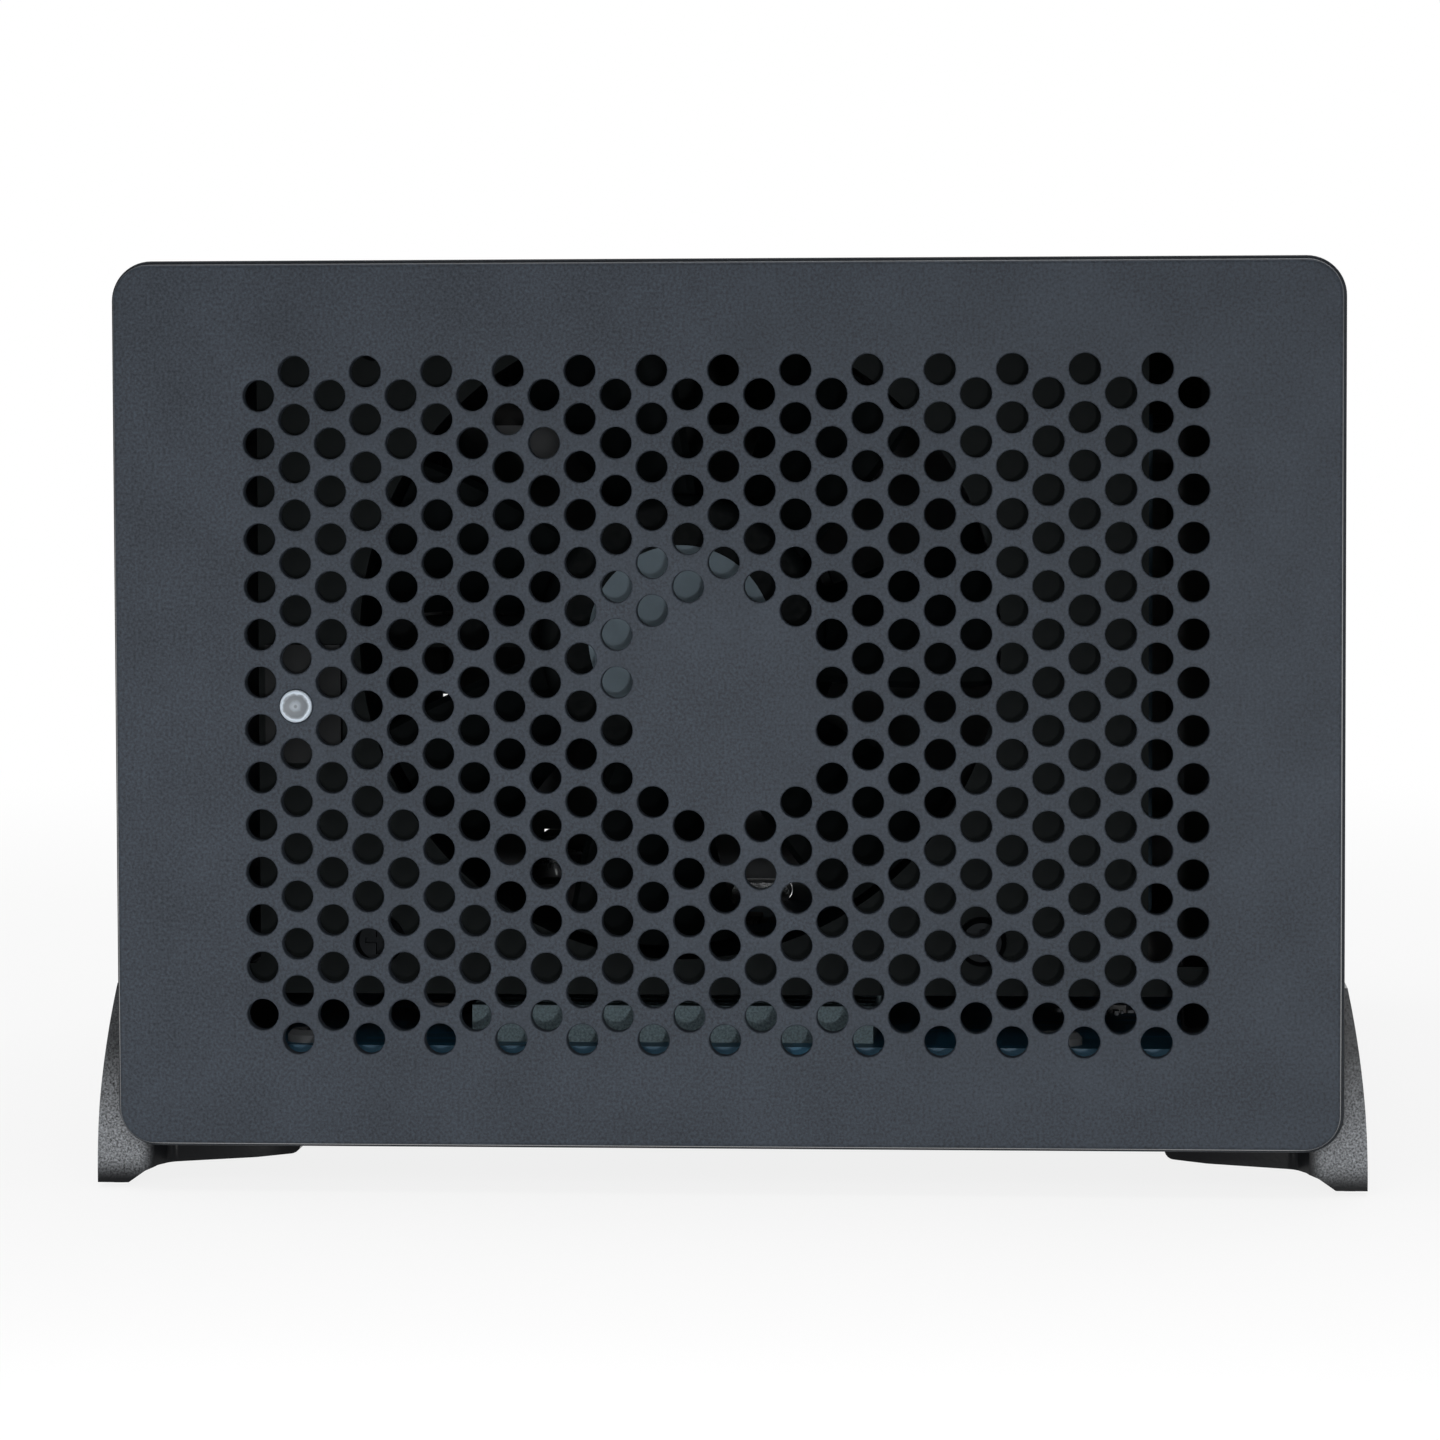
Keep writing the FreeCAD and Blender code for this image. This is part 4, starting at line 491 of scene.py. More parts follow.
def blocks(builder, centres, halves, heights, base, edge):
    """Small upright blocks with chamfered corners and top edges, from arrays with one row each."""
    corner = np.minimum(edge * 2, halves.min(axis=1) * 0.5)[:, None, None]
    signs = np.array([(-1, 1), (1, 1), (1, 1), (1, -1), (1, -1), (-1, -1), (-1, -1), (-1, 1)], float)
    normals = np.array([(0, 1), (0, 1), (1, 0), (1, 0), (0, -1), (0, -1), (-1, 0), (-1, 0)], float)
    feet = signs * (halves[:, None] - corner)
    rows = []
    for inset, drop in ((edge, 0.0), (0.0, edge), (0.0, None)):
        flat = centres[:, None] + feet + normals * (corner - inset)
        level = np.full(len(heights), base) if drop is None else base + heights - drop
        rows.append(np.concatenate([flat, np.broadcast_to(level[:, None, None], flat.shape[:2] + (1,))], -1))
    index = builder.block(np.stack(rows, 1))
    builder.bands(index[:, ::-1])
    builder.caps(index[:, 0], flip=True)


def clear_of_nodes(centres, halves, base, reach, margin):
    """Which blocks stand clear of every solid on the board, tested against boxes and vertices above it."""
    skin = 0.05 * MM
    clear = np.ones(len(centres), bool)
    for name, piece in NODES.items():
        if piece["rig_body"] != "tray" or name == "main_board":
            continue
        spots = np.empty(len(piece.data.vertices) * 3)
        piece.data.vertices.foreach_get("co", spots)
        spots = spots.reshape(-1, 3)
        spots = spots[(spots[:, 2] > base + skin) & (spots[:, 2] < base + reach)][:, :2]
        apart = np.abs(centres[:, None] - spots[None])
        clear &= ~np.any(np.all(apart < halves[:, None] + margin, axis=2), axis=1)
    for name in "heat_spreader riser_socket power_inlet choke data_port_left data_port_right".split():
        middle, half = middle_half(*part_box(name))
        clear &= ~np.all(np.abs(centres - middle[:2]) < halves + half[:2] + margin, axis=1)
    return clear


def bowed(work, start, taper, slices=12):
    """Bows a foot's outer side outwards and stands its wing's end upright.

    The side is upright up to a height and then leans in as the height squared, to the wing's own tip.
    The wing's end keeps a share of its backward lean.
    """
    sideways, endways, upwards, near = 0.7, 0.5, 0.1, 0.3 * MM
    spots = np.abs(np.array([vert.co for vert in work.verts]))
    outer, end, top = spots.max(axis=0)
    tip = spots[spots[:, 2] > top - 0.2 * MM, 0].max()
    for height in np.linspace(0, top, slices + 2)[1:-1]:
        everything = [*work.verts, *work.edges, *work.faces]
        bmesh.ops.bisect_plane(work, geom=everything, dist=1e-7, plane_co=(0, 0, height), plane_no=(0, 0, 1))
    work.normal_update()
    sides, ends = set(), set()
    for face in work.faces:
        middle = face.calc_center_median()
        aside, along = math.copysign(1, middle.x), math.copysign(1, middle.y)
        if face.normal.x * aside > sideways and abs(middle.x) > tip - near:
            sides.update(face.verts)
        if face.normal.y * along > endways and face.normal.z > upwards and middle.z > top / 4:
            ends.update(face.verts)
    for vert in ends:
        vert.co.y = math.copysign(end - (end - abs(vert.co.y)) * taper, vert.co.y)
    for vert in sides:
        lean = max(0.0, (vert.co.z - start) / (top - start))
        vert.co.x = math.copysign(outer + (tip - outer) * lean ** 2, vert.co.x)


def softened(node, width, shape):
    """Copy of a solid's mesh, flat faces joined, shaped, and its edges rounded by a Bevel modifier."""
    weld, level, crease = 1e-6, math.radians(1), math.radians(35)
    mesh = NODES[node].data.copy()
    work = bmesh.new()
    work.from_mesh(mesh)
    bmesh.ops.remove_doubles(work, verts=work.verts, dist=weld)
    bmesh.ops.dissolve_limit(work, angle_limit=level, verts=work.verts, edges=work.edges)
    shape(work)
    work.to_mesh(mesh)
    work.free()
    if "custom_normal" in mesh.attributes:
        mesh.attributes.remove(mesh.attributes["custom_normal"])
    mesh.shade_smooth()
    mesh.set_sharp_from_angle(angle=crease)
    piece = bpy.data.objects.new(node + "_soft", mesh)
    bpy.context.scene.collection.objects.link(piece)
    bevel = piece.modifiers.new("rounded_edges", "BEVEL")
    bevel.width = width
    bevel.segments = 3
    bevel.limit_method = "ANGLE"
    bevel.angle_limit = crease
    piece.modifiers.new("even_faces", "WEIGHTED_NORMAL").keep_sharp = False
    return piece


# Finishes

def put(tree, kind, inputs=None, **settings):
    """Adds a node with its settings; an input takes a value or is linked to another node's socket."""
    added = tree.nodes.new(kind)
    for name, value in settings.items():
        setattr(added, name, value)
    for name, value in (inputs or {}).items():
        if isinstance(value, bpy.types.NodeSocket):
            tree.links.new(value, added.inputs[name])
        else:
            added.inputs[name].default_value = value
    return added


def maths(tree, operation, first, second=0.0):
    """Result of a Math node."""
    return put(tree, "ShaderNodeMath", {0: first, 1: second}, operation=operation).outputs[0]


def vectors(tree, operation, first, second=(0, 0, 0)):
    """Result of a Vector Math node: a number for a length or a dot product, else a vector."""
    outputs = put(tree, "ShaderNodeVectorMath", {0: first, 1: second}, operation=operation).outputs
    return outputs["Value" if operation in ("LENGTH", "DOT_PRODUCT") else "Vector"]


def ranged(tree, value, span=(0, 1), to=(0, 1), **settings):
    """A value carried from one span to another, and held at its ends."""
    inputs = {"Value": value, "From Min": span[0], "From Max": span[1], "To Min": to[0], "To Max": to[1]}
    return put(tree, "ShaderNodeMapRange", inputs, **settings).outputs[0]


def between(tree, factor, first, second):
    """Number between two by a factor."""
    return put(tree, "ShaderNodeMix", {"Factor": factor, 2: first, 3: second}).outputs[0]


def mixed(tree, factor, first, second):
    """Colour between two by a factor; each is a linear colour or a socket."""
    ends = [end if isinstance(end, bpy.types.NodeSocket) else (*end, 1) for end in (first, second)]
    return put(tree, "ShaderNodeMix", {"Factor": factor, 6: ends[0], 7: ends[1]}, data_type="RGBA").outputs[2]


def shade(rgb, amount):
    """A linear colour made lighter or darker."""
    return tuple(min(1.0, c * amount) for c in rgb)


def tones(tree, factor, rgb, darker, lighter):
    """Colour between a darker and a lighter shade by a factor."""
    return mixed(tree, factor, shade(rgb, darker), shade(rgb, lighter))


def grain(millimetres):
    """Texture scale on Object coordinates, in metres, that gives features of a size in millimetres."""
    return 1000 / millimetres


def noise(tree, place, millimetres, detail=2.0, output="Fac", **inputs):
    """Factor, or another output, of a noise texture with features of a size."""
    values = {"Vector": place, "Scale": grain(millimetres), "Detail": detail, **inputs}
    return put(tree, "ShaderNodeTexNoise", values).outputs[output]


def waves(tree, place, millimetres, direction, profile):
    """Factor of straight waves with a radian to a length; the texture has 20 radians to a unit."""
    values = {"Vector": place, "Scale": grain(millimetres) / 20}
    settings = {"bands_direction": direction, "wave_profile": profile}
    return put(tree, "ShaderNodeTexWave", values, **settings).outputs["Fac"]


def bumped(tree, height, strength, millimetres):
    """Normal of a surface with bumps of a depth."""
    inputs = {"Height": height, "Strength": strength, "Distance": millimetres * MM}
    return put(tree, "ShaderNodeBump", inputs).outputs["Normal"]


def blank_material(name):
    """Material with an empty node tree, and its tree and Object coordinates."""
    material = bpy.data.materials.new(name)
    material.use_nodes = True
    tree = material.node_tree
    tree.nodes.clear()
    place = put(tree, "ShaderNodeTexCoord").outputs["Object"]
    return material, tree, place


def as_material(finish):
    """Lets a finish, which returns the inputs of one Principled shader, make a material with a name."""
    def make(name, *values, **more):
        material, tree, place = blank_material(name)
        shader = put(tree, "ShaderNodeBsdfPrincipled", finish(tree, place, *values, **more))
        put(tree, "ShaderNodeOutputMaterial", {"Surface": shader.outputs["BSDF"]})
        return material
    return make


def edge_band(tree, place, low, high, corner, width, depth):
    """One on a band along the front outline of a rounded plate in X and Z, and nothing inside or behind it.

    How far a point lies past the arc centres, less the corner radius, is its distance from the outline.
    The band fades in the upper half: painted shade, so that the upper edge shows less of the bare metal's
    highlight.
    """
    middle = (low + high) / 2
    core = (high - low) / 2 - Vector((corner, 0, corner))
    folded = vectors(tree, "ABSOLUTE", vectors(tree, "SUBTRACT", place, middle))
    over = vectors(tree, "MAXIMUM", vectors(tree, "SUBTRACT", folded, core))
    reach = vectors(tree, "LENGTH", vectors(tree, "MULTIPLY", over, (1, 0, 1)))
    band = ranged(tree, reach, (corner - width * 1.2, corner - width * 0.8))
    axes = put(tree, "ShaderNodeSeparateXYZ", {"Vector": place}).outputs
    # Painted shade: the bare band dims from the middle to the top edge.
    top_edge_shade = ranged(tree, axes["Z"], (middle.z, high.z - corner), (1, 0.15))
    front = ranged(tree, axes["Y"], (low.y + depth * 0.8, low.y + depth), (1, 0))
    return maths(tree, "MULTIPLY", maths(tree, "MULTIPLY", band, top_edge_shade), front)


@as_material
def bead_blasted_anodise(tree, place, rgb, grit_mm=0.34, bare=None, outline=None):
    """Dyed anodised aluminium, bead blasted: a matt satin skin whose grit shows as fine sand.

    The grit is really about 0.1 mm; it is drawn coarser so that it shows. Along an outline, given as the
    values of edge_band, the dye is cut away and bare metal shows; the band dims towards the top, painted
    shade.
    """
    sand = noise(tree, place, grit_mm, 3.0, Roughness=0.6)
    cloud = maths(tree, "MULTIPLY", noise(tree, place, 9.0), 0.2)
    spread = ranged(tree, maths(tree, "ADD", sand, cloud), (0.4, 0.8))
    tone = tones(tree, spread, rgb, 0.5, 1.5)
    rough = ranged(tree, sand, (0.3, 0.7), (0.48, 0.68))
    metal = 0.2
    if outline:
        # The bare band is dimmed towards the top by painted shade in edge_band.
        cut = edge_band(tree, place, *outline)
        tone = mixed(tree, cut, tone, bare)
        metal = ranged(tree, cut, to=(metal, 0.9))
        rough = between(tree, cut, rough, 0.2)
    return {"Base Color": tone, "Metallic": metal, "Roughness": rough,
            "Specular IOR Level": 0.25, "Normal": bumped(tree, sand, 0.4, 0.05)}


@as_material
def spark_eroded_abs(tree, place, rgb, painted_glint, grain_mm, block):
    """Black ABS moulded in a spark-eroded tool: rounded pits whose crests are painted pale, a painted glint.

    The grain stands on the block of a foot and runs out to smooth plastic on its arm, sole and wing tip.
    The pale crests go with it: the arm, the sole and the top of the wing stay dark, painted shade.
    """
    axes = put(tree, "ShaderNodeSeparateXYZ", {"Vector": place}).outputs
    aside = maths(tree, "ABSOLUTE", axes["X"])
    # The grain and its pale crests stand on the block only; the dark arm is painted shade.
    on_block = ranged(tree, aside, (block - MM, block + MM), interpolation_type="SMOOTHSTEP")
    # Painted shade: the pale crests fade near the sole and towards the top of the wing.
    above = ranged(tree, axes["Z"], (0.8 * MM, 4 * MM), interpolation_type="SMOOTHSTEP")
    below = ranged(tree, axes["Z"], (7 * MM, 17 * MM), (1, 0.2))
    depth = maths(tree, "MULTIPLY", on_block, maths(tree, "MULTIPLY", above, below))
    pits = noise(tree, place, grain_mm, Roughness=0.6)
    shallow = put(tree, "ShaderNodeTexVoronoi", {"Vector": place, "Scale": grain(grain_mm * 1.6)},
                  feature="SMOOTH_F1").outputs["Distance"]
    crest = ranged(tree, pits, (0.3, 0.8))
    # Painted glint: the crests of the grain are painted pale where the mask allows.
    tone = mixed(tree, maths(tree, "MULTIPLY", crest, depth), rgb, painted_glint)
    strength = ranged(tree, depth, to=(0.06, 0.7))
    return {"Base Color": tone, "Roughness": ranged(tree, depth, to=(0.3, 0.42)), "IOR": 1.5,
            "Specular IOR Level": ranged(tree, depth, to=(0.08, 0.4)),
            "Normal": bumped(tree, maths(tree, "ADD", pits, shallow), strength, 0.12)}


@as_material
def moulded_plastic(tree, place, rgb, roughness, grain_mm=0.5, ior=1.5, gloss=0.5):
    """Glass-filled moulded plastic: smooth with a faint flow grain and slightly uneven gloss."""
    flow = noise(tree, place, grain_mm)
    rough = ranged(tree, flow, (0.3, 0.7), (roughness * 0.85, roughness * 1.2))
    return {"Base Color": tones(tree, flow, rgb, 0.85, 1.18), "Roughness": rough, "IOR": ior,
            "Specular IOR Level": gloss, "Normal": bumped(tree, flow, roughness * 0.3, 0.05)}


@as_material
def plated_steel(tree, place, rgb, roughness, spangle_mm=2.2, stretch=(1, 14, 1)):
    """Plated cold-rolled sheet: bright metal with faint rolling lines and soft cloudy spangle."""
    squeeze = tuple(1 / s for s in stretch)
    along = put(tree, "ShaderNodeMapping", {"Vector": place, "Scale": squeeze}).outputs[0]
    lines = noise(tree, along, 0.35, 3.0)
    both = maths(tree, "ADD", lines, noise(tree, place, spangle_mm, 1.0))
    tone = tones(tree, ranged(tree, both, (0.7, 1.3)), rgb, 0.94, 1.05)
    rough = ranged(tree, both, (0.6, 1.4), (roughness - 0.04, roughness + 0.06))
    return {"Base Color": tone, "Metallic": 1.0, "Roughness": rough,
            "Normal": bumped(tree, lines, 0.08, 0.03)}


@as_material
def powder_coat(tree, place, rgb):
    """Satin powder coat on steel: fine orange peel with a soft sheen."""
    peel = noise(tree, place, 0.9)
    return {"Base Color": tones(tree, peel, rgb, 0.9, 1.12), "Specular IOR Level": 0.15,
            "Roughness": ranged(tree, peel, to=(0.6, 0.75)),
            "Normal": bumped(tree, peel, 0.2, 0.08)}


@as_material
def solder_mask(tree, place, rgb, gloss):
    """Solder mask over copper: patches of fine parallel tracks show lighter through the mask."""
    uneven = noise(tree, place, 14.0, 0.0, "Color")
    patches = put(tree, "ShaderNodeTexVoronoi", {"Vector": place, "Scale": grain(11.0)},
                  distance="CHEBYCHEV").outputs["Color"]
    draws = put(tree, "ShaderNodeSeparateColor", {"Color": patches}).outputs
    lengthways = maths(tree, "GREATER_THAN", draws[0], 0.5)
    lines = between(tree, lengthways, *(waves(tree, place, 0.9, axis, "TRI") for axis in "XY"))
    tracked = maths(tree, "GREATER_THAN", draws[1], 0.42)
    shown = maths(tree, "MULTIPLY", ranged(tree, lines, (0.55, 0.7)), tracked)
    return {"Base Color": mixed(tree, shown, rgb, shade(rgb, 1.7)), "IOR": 1.55,
            "Roughness": ranged(tree, uneven, to=(0.42, 0.55)), "Specular IOR Level": gloss,
            "Normal": bumped(tree, shown, 0.3, 0.03)}


@as_material
def milky_polycarbonate(tree, place, rgb):
    """Milky polycarbonate light pipe: soft glow inside under a glossy dome."""
    haze = noise(tree, place, 0.8)
    return {"Base Color": tones(tree, haze, rgb, 0.8, 1.2), "IOR": 1.58,
            "Roughness": ranged(tree, haze, to=(0.16, 0.3)), "Transmission Weight": 0.35,
            "Subsurface Weight": 0.2, "Subsurface Radius": (1.0, 1.0, 1.0),
            "Subsurface Scale": 0.6 * MM}


@as_material
def ringed_light_pipe(tree, place, rgb):
    """Moulded milky light pipe: a pale rim (painted highlight), a darker dish (painted shade), and the lamp
    dimly seen at the centre.
    """
    centre, (radius, _, _) = middle_half(LENS_LOW, LENS_HIGH)
    values = {"Vector": place, "Location": centre * (-1, 0, -1), "Scale": (1, 0, 1)}
    flat = put(tree, "ShaderNodeMapping", values).outputs[0]
    haze = noise(tree, place, 0.7)
    uneven = ranged(tree, haze, to=(-0.12 * radius, 0.12 * radius))
    wavy = maths(tree, "ADD", vectors(tree, "LENGTH", flat), uneven)
    rings = put(tree, "ShaderNodeValToRGB", {"Fac": ranged(tree, wavy, (0, radius))})
    # Painted light: the pale stops near the rim are a painted highlight, the dark ones in the dish painted
    # shade; the middle is the lamp.
    stops = rings.color_ramp.elements
    stops[0].position, stops[0].color = 0.04, (*shade(rgb, 0.32), 1)
    stops[1].position, stops[1].color = 0.12, (*shade(rgb, 0.62), 1)
    for position, amount in ((0.28, 0.5), (0.42, 0.3), (0.66, 0.26), (0.76, 0.5), (0.84, 1.2), (0.97, 0.9)):
        stops.new(position).color = (*shade(rgb, amount), 1)
    return {"Base Color": rings.outputs["Color"], "IOR": 1.58,
            "Roughness": ranged(tree, haze, to=(0.34, 0.5)),
            "Subsurface Weight": 0.15, "Subsurface Radius": (1.0, 1.0, 1.0),
            "Subsurface Scale": 0.4 * MM}


@as_material
def paper_disc(tree, place, rgb):
    """Matt printed paper: even colour with faint fibres."""
    fibre = noise(tree, place, 0.4, 4.0)
    return {"Base Color": tones(tree, fibre, rgb, 0.93, 1.06),
            "Roughness": ranged(tree, fibre, to=(0.68, 0.82)),
            "Normal": bumped(tree, fibre, 0.1, 0.03)}


@as_material
def woven_gauze(tree, place, rgb, radian_mm=0.8):
    """Woven black gauze: crossing threads stand up and catch a little light.

    The threads are really about 0.3 mm apart; they are drawn coarser so that they show.
    """
    threads = maths(tree, "MAXIMUM", *(waves(tree, place, radian_mm, axis, "SIN") for axis in "XZ"))
    return {"Base Color": tones(tree, threads, rgb, 0.3, 1.6),
            "Roughness": ranged(tree, threads, to=(0.85, 0.6)),
            "Normal": bumped(tree, threads, 0.6, 0.15)}


def wear(piece, material):
    """Gives an object one material on all its faces."""
    piece.data.materials.clear()
    piece.data.materials.append(material)


# Pieces

class CHASSIS_OT_stage(Operator):
    """Camera, pale floor and soft lamps"""
    bl_idname = "chassis.stage"
    bl_label = "Studio"

    def execute(self, context):
        scene = context.scene
        studio = scene.chassis_studio
        scene.view_settings.view_transform = "Standard"

        yaw, pitch, roll = studio.turn
        ahead = Vector((math.sin(yaw) * math.cos(pitch), math.cos(yaw) * math.cos(pitch), math.sin(pitch)))
        right = Vector((math.cos(yaw), -math.sin(yaw), 0))
        up = right.cross(ahead)
        right, up = right * math.cos(roll) + up * math.sin(roll), up * math.cos(roll) - right * math.sin(roll)
        data = bpy.data.cameras.new("photo_camera")
        data.lens = studio.lens_mm
        data.sensor_width = 36.0
        data.clip_start, data.clip_end = 0.01, 200.0
        camera = bpy.data.objects.new("photo_camera", data)
        turn = Matrix((right, up, -ahead)).transposed().to_4x4()
        camera.matrix_world = Matrix.Translation(Vector(studio.place)) @ turn
        scene.collection.objects.link(camera)
        scene.camera = camera

        half = studio.floor_half
        corners = [[(-half, -half, 0), (half, -half, 0), (half, half, 0), (-half, half, 0)]]
        floor = mesh_object("studio_floor", corners, [[[0, 1, 2, 3]]])
        wear(floor, self.floor_material(studio))

        world = bpy.data.worlds.new("studio_light")
        world.use_nodes = True
        tree = world.node_tree
        tree.nodes.clear()
        bright_side = (0.6, 0.7, -0.4)
        along = put(tree, "ShaderNodeTexCoord").outputs["Generated"]
        behind = ranged(tree, vectors(tree, "DOT_PRODUCT", along, bright_side), (0, 0.5))
        rays = put(tree, "ShaderNodeLightPath").outputs
        bounced = maths(tree, "MULTIPLY", self.mirrored(tree, rays), behind)
        seen = maths(tree, "MAXIMUM", rays["Is Camera Ray"], bounced)
        strength = ranged(tree, seen, to=(studio.fill, 1))
        light = put(tree, "ShaderNodeBackground", {"Color": (1, 1, 1, 1), "Strength": strength})
        put(tree, "ShaderNodeOutputWorld", {"Surface": light.outputs[0]})
        scene.world = world

        for name, (place, aim, size, source, share) in LAMPS.items():
            self.lamp(name, place, aim, size, getattr(studio, source) * share)
        return {"FINISHED"}

    @staticmethod
    def mirrored(tree, rays):
        """One for rays that come off metal or gloss or through glass."""
        return maths(tree, "MAXIMUM", rays["Is Glossy Ray"], rays["Is Transmission Ray"])

    def floor_material(self, studio):
        """Matt white paint that fades to plain white away from the chassis, as seen and as mirrored."""
        material, tree, place = blank_material("matt white floor")
        apart = vectors(tree, "LENGTH", place)
        fade = ranged(tree, apart, (studio.clear, studio.white), interpolation_type="SMOOTHSTEP")
        pale = ranged(tree, fade, to=(1 - studio.floor_shadow, 1))
        rays = put(tree, "ShaderNodeLightPath").outputs
        shown = maths(tree, "MAXIMUM", rays["Is Camera Ray"], self.mirrored(tree, rays))
        seen = maths(tree, "MULTIPLY", pale, shown)
        off_white = (0.86, 0.86, 0.86, 1)
        paint = put(tree, "ShaderNodeBsdfDiffuse", {"Color": off_white}).outputs[0]
        white = put(tree, "ShaderNodeEmission", {"Color": (1, 1, 1, 1), "Strength": 1.0}).outputs[0]
        both = put(tree, "ShaderNodeMixShader", {0: seen, 1: paint, 2: white}).outputs[0]
        put(tree, "ShaderNodeOutputMaterial", {"Surface": both})
        return material

    @staticmethod
    def lamp(name, place, aim, size, power):
        """Square area lamp at a place, facing a point."""
        data = bpy.data.lights.new(name, "AREA")
        data.size = size
        data.energy = power
        lamp = bpy.data.objects.new(name, data)
        lamp.location = place
        lamp.visible_camera = False
        lamp.rotation_mode = "QUATERNION"
        lamp.rotation_quaternion = (Vector(aim) - Vector(place)).to_track_quat("-Z", "Y")
        bpy.context.scene.collection.objects.link(lamp)


class CHASSIS_OT_front_panel(Operator):
    """Perforated front panel with rounded hole rims"""
    bl_idname = "chassis.front_panel"
    bl_label = "Front panel"

    def execute(self, context):
        sizes = context.scene.chassis_panel
        tint = context.scene.chassis_finish
        panel = front_panel_mesh(sizes).make("front_panel_skin")
        panel.modifiers.new("even_faces", "WEIGHTED_NORMAL").keep_sharp = True
        outline = (PANEL_LOW, PANEL_HIGH, sizes.corner, sizes.cut_edge, sizes.edge_round)
        wear(panel, bead_blasted_anodise("slate bead-blasted anodise", tint.panel, bare=tint.cut,
                                         outline=outline))
        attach(panel, "housing")
        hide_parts("front_panel")
        return {"FINISHED"}


class CHASSIS_OT_sleeve(Operator):
    """Wrapped sleeve with softly rounded cut edges"""
    bl_idname = "chassis.sleeve"
    bl_label = "Sleeve"

    def execute(self, context):
        sleeve = sleeve_mesh(context.scene.chassis_sleeve).make("outer_sleeve_skin")
        sleeve.modifiers.new("even_faces", "WEIGHTED_NORMAL").keep_sharp = True
        wear(sleeve, bead_blasted_anodise("dark bead-blasted anodise", context.scene.chassis_finish.sleeve))
        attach(sleeve, "housing")
        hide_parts("outer_sleeve")
        return {"FINISHED"}


class CHASSIS_OT_lens(Operator):
    """Dished status lens"""
    bl_idname = "chassis.lens"
    bl_label = "Status lens"

    def execute(self, context):
        lens = lens_mesh().make("status_lens_skin", sharp_angle=50)
        wear(lens, ringed_light_pipe("milky ringed polycarbonate", context.scene.chassis_finish.lens))
        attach(lens, "housing")
        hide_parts("status_lens")
        return {"FINISHED"}


class CHASSIS_OT_feet(Operator):
    """Corner feet with rounded edges and a coarse moulded grain"""
    bl_idname = "chassis.feet"
    bl_label = "Feet"

    def execute(self, context):
        sizes = context.scene.chassis_feet
        tint = context.scene.chassis_finish
        grained = spark_eroded_abs("spark-eroded black ABS", tint.foot, tint.painted_glint, sizes.grain / MM,
                                   sizes.block)
        for node in FEET:
            foot = softened(node, sizes.edge_round,
                            lambda work: bowed(work, sizes.wing_start, sizes.wing_lean))
            wear(foot, grained)
            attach(foot, "housing")
            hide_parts(node)
        return {"FINISHED"}


class CHASSIS_OT_board_parts(Operator):
    """Chips with their leads and rows of small parts on the main board"""
    bl_idname = "chassis.board_parts"
    bl_label = "Board parts"

    def execute(self, context):
        low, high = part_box("main_board")
        sizes = context.scene.chassis_board
        tint = context.scene.chassis_finish
        columns, rows = sizes.chip_columns, sizes.chip_rows
        column, row = [grid.ravel() for grid in np.meshgrid(np.arange(columns), np.arange(rows))]
        sway_x, sway_y = 0.18 * np.sin(row * 2.3), 0.16 * np.cos(column * 1.7 + row)
        share = np.stack([(column + 0.5 + sway_x) / columns, (row + 0.5 + sway_y) / rows], -1)
        centres = np.array([low.x, low.y]) + share * np.array([high.x - low.x, high.y - low.y])
        widths = np.array([0.6, 1.0, 0.75, 1.35])
        chip = sizes.chip * widths[(column + 2 * row) % len(widths)]
        halves = np.stack([chip, chip * np.where(row % 2 == 0, 1.0, 0.7)], -1) / 2
        kept = clear_of_nodes(centres, halves + sizes.skirt, high.z, reach=6 * MM, margin=0.5 * MM)
        kept &= centres[:, 1] - halves[:, 1] > low.y + sizes.front_margin
        centres, halves = centres[kept], halves[kept]

        edge = 0.1 * MM
        chips = Builder()
        blocks(chips, centres, halves, np.full(len(centres), sizes.chip_height), high.z, edge)
        body = chips.make("board_chips")
        wear(body, moulded_plastic("chip epoxy", tint.chip, 0.5, grain_mm=0.2))

        row_share, leads_in_row = 0.8, 9
        across = np.linspace(-row_share, row_share, leads_in_row)[None, :, None] * halves[:, None]
        lead = sizes.lead * np.array([[0.5, 1.2], [1.2, 0.5]])
        small = sizes.passive * np.array([[0.5, 0.9], [0.9, 0.5]])
        lead_height, small_height, small_out = sizes.lead * 0.5, sizes.passive * 0.45, sizes.skirt * 0.7
        places, sizes_of, tall = [], [], []
        for side in (-1, 1):
            for axis in (0, 1):
                out = np.zeros(2)
                out[1 - axis] = side
                run = np.zeros(2)
                run[axis] = 1
                legs = centres[:, None] + across * run + out * (halves + lead[axis] * 0.5)[:, None]
                parts = centres[:, None] + across[:, 1::2] * run + out * (halves + small_out)[:, None]
                for spots, half, height in ((legs, lead[axis] / 2, lead_height),
                                            (parts, small[axis] / 2, small_height)):
                    places.append(spots.reshape(-1, 2))
                    sizes_of.append(np.broadcast_to(half, places[-1].shape))
                    tall.append(np.full(len(places[-1]), height))
        tinned = Builder()
        blocks(tinned, np.concatenate(places), np.concatenate(sizes_of), np.concatenate(tall), high.z,
               edge / 2)
        leads = tinned.make("board_leads")
        wear(leads, plated_steel("tinned leads", tint.solder, 0.75, spangle_mm=0.6, stretch=(1, 1, 1)))
        for piece, slot in ((body, "chip_epoxy"), (leads, "can_metal")):
            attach(piece, "tray")
        return {"FINISHED"}


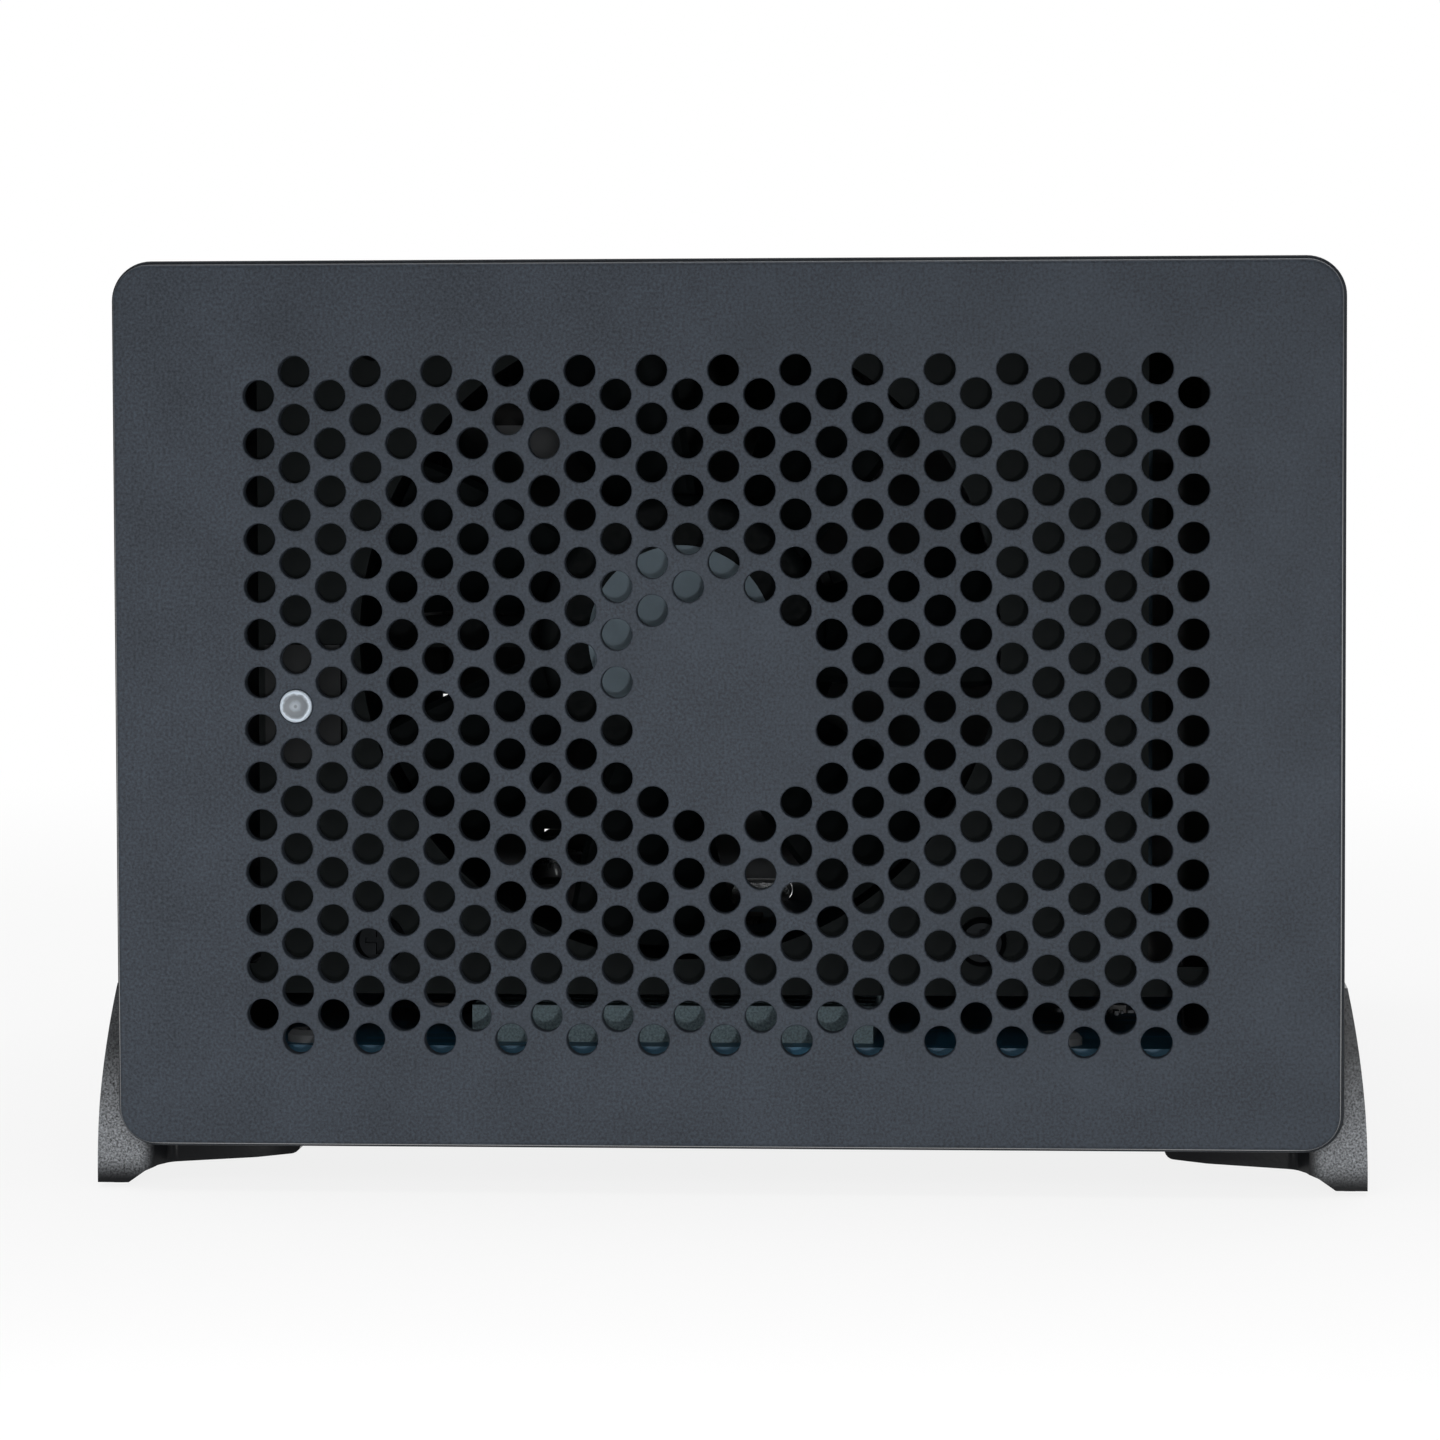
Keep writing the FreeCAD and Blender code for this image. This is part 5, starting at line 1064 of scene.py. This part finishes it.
class CHASSIS_OT_finishes(Operator):
    """Finishes of the pieces whose shape stays as it is"""
    bl_idname = "chassis.finishes"
    bl_label = "Finishes"

    def execute(self, context):
        tint = context.scene.chassis_finish
        zinc = plated_steel("zinc-plated steel", tint.zinc, 0.7)
        screw = plated_steel("zinc-plated screw", tint.zinc, 0.8, spangle_mm=1.0, stretch=(1, 1, 1))
        oxide = plated_steel("black oxide steel", tint.oxide, 0.55, spangle_mm=1.0, stretch=(1, 1, 1))
        moulded = moulded_plastic("black moulded connector", tint.connector, 0.45)
        mask = solder_mask("teal solder mask", tint.mask, 0.5)
        fan = moulded_plastic("black fan plastic", tint.fan, 0.55, grain_mm=0.7, gloss=0.05)
        ferrite = moulded_plastic("grey ferrite", tint.ferrite, 0.6, grain_mm=0.3)
        finishes = {
            "panel_nuts floor_screws slot_cover_screws board_standoffs board_screws riser_spacers"
            " riser_screws fan_shaft": screw,
            "foot_screws fan_screws thumbscrew_left thumbscrew_right": oxide,
            "thumbscrew_bracket_left thumbscrew_bracket_right tray slot_cover_lower slot_cover_upper"
            " riser_bracket": zinc,
            "fan_bracket": powder_coat("satin black powder coat", tint.coat),
            "main_board riser_board": mask,
            "light_board": solder_mask("black solder mask", tint.black_mask, 0.12),
            "dust_gauze": woven_gauze("black woven gauze", tint.gauze),
            "controller_chip": moulded_plastic("controller epoxy", tint.chip, 0.5, grain_mm=0.2),
            "heat_spreader": bead_blasted_anodise("natural anodise", tint.spreader, grit_mm=0.3),
            "data_port_left data_port_right": plated_steel("bright plated shell", tint.shell, 0.22),
            "power_inlet riser_socket card_slot_lower card_slot_upper": moulded,
            "capacitors": plated_steel("aluminium can", tint.can, 0.28),
            "choke fan_magnet fan_stator": ferrite,
            "status_light": milky_polycarbonate("clear light", tint.light),
            "fan_frame fan_rotor": fan,
            "fan_bearing": plated_steel("sintered bronze", tint.bronze, 0.4),
            "fan_label": paper_disc("grey-blue paper", tint.label),
        }
        pads = " ".join(name.replace("foot_", "foot_pad_") for name in FEET)
        finishes[pads] = moulded_plastic("nitrile rubber", tint.pad, 0.7, grain_mm=0.3, ior=1.52)
        for names, material in finishes.items():
            for name in names.split():
                wear(NODES[name], material)
        return {"FINISHED"}


class CHASSIS_PT_sidebar(Panel):
    """Lists the pieces and their sizes"""
    bl_label = "Expansion chassis"
    bl_idname = "CHASSIS_PT_sidebar"
    bl_space_type = "VIEW_3D"
    bl_region_type = "UI"
    bl_category = "Chassis"

    def draw(self, context):
        for operator in OPERATORS:
            self.layout.operator(operator.bl_idname)
        for name in GROUPS:
            settings = getattr(context.scene, name)
            box = self.layout.box()
            for field in settings.__annotations__:
                box.prop(settings, field)


GROUPS = {
    "chassis_panel": PanelSizes,
    "chassis_sleeve": SleeveSizes,
    "chassis_feet": FootSizes,
    "chassis_board": BoardSizes,
    "chassis_finish": Finishes,
    "chassis_studio": Studio,
}
OPERATORS = [CHASSIS_OT_stage, CHASSIS_OT_finishes, CHASSIS_OT_front_panel, CHASSIS_OT_sleeve,
             CHASSIS_OT_lens, CHASSIS_OT_feet, CHASSIS_OT_board_parts]


def register():
    for group in GROUPS.values():
        bpy.utils.register_class(group)
    for name, group in GROUPS.items():
        setattr(bpy.types.Scene, name, PointerProperty(type=group))
    for operator in OPERATORS:
        bpy.utils.register_class(operator)
    bpy.utils.register_class(CHASSIS_PT_sidebar)


def unregister():
    bpy.utils.unregister_class(CHASSIS_PT_sidebar)
    for operator in reversed(OPERATORS):
        bpy.utils.unregister_class(operator)
    for name in GROUPS:
        delattr(bpy.types.Scene, name)
    for group in reversed(list(GROUPS.values())):
        bpy.utils.unregister_class(group)


def main():
    register()
    for operator in OPERATORS:
        family, name = operator.bl_idname.split(".")
        getattr(getattr(bpy.ops, family), name)()


if __name__ == "__main__":
    main()
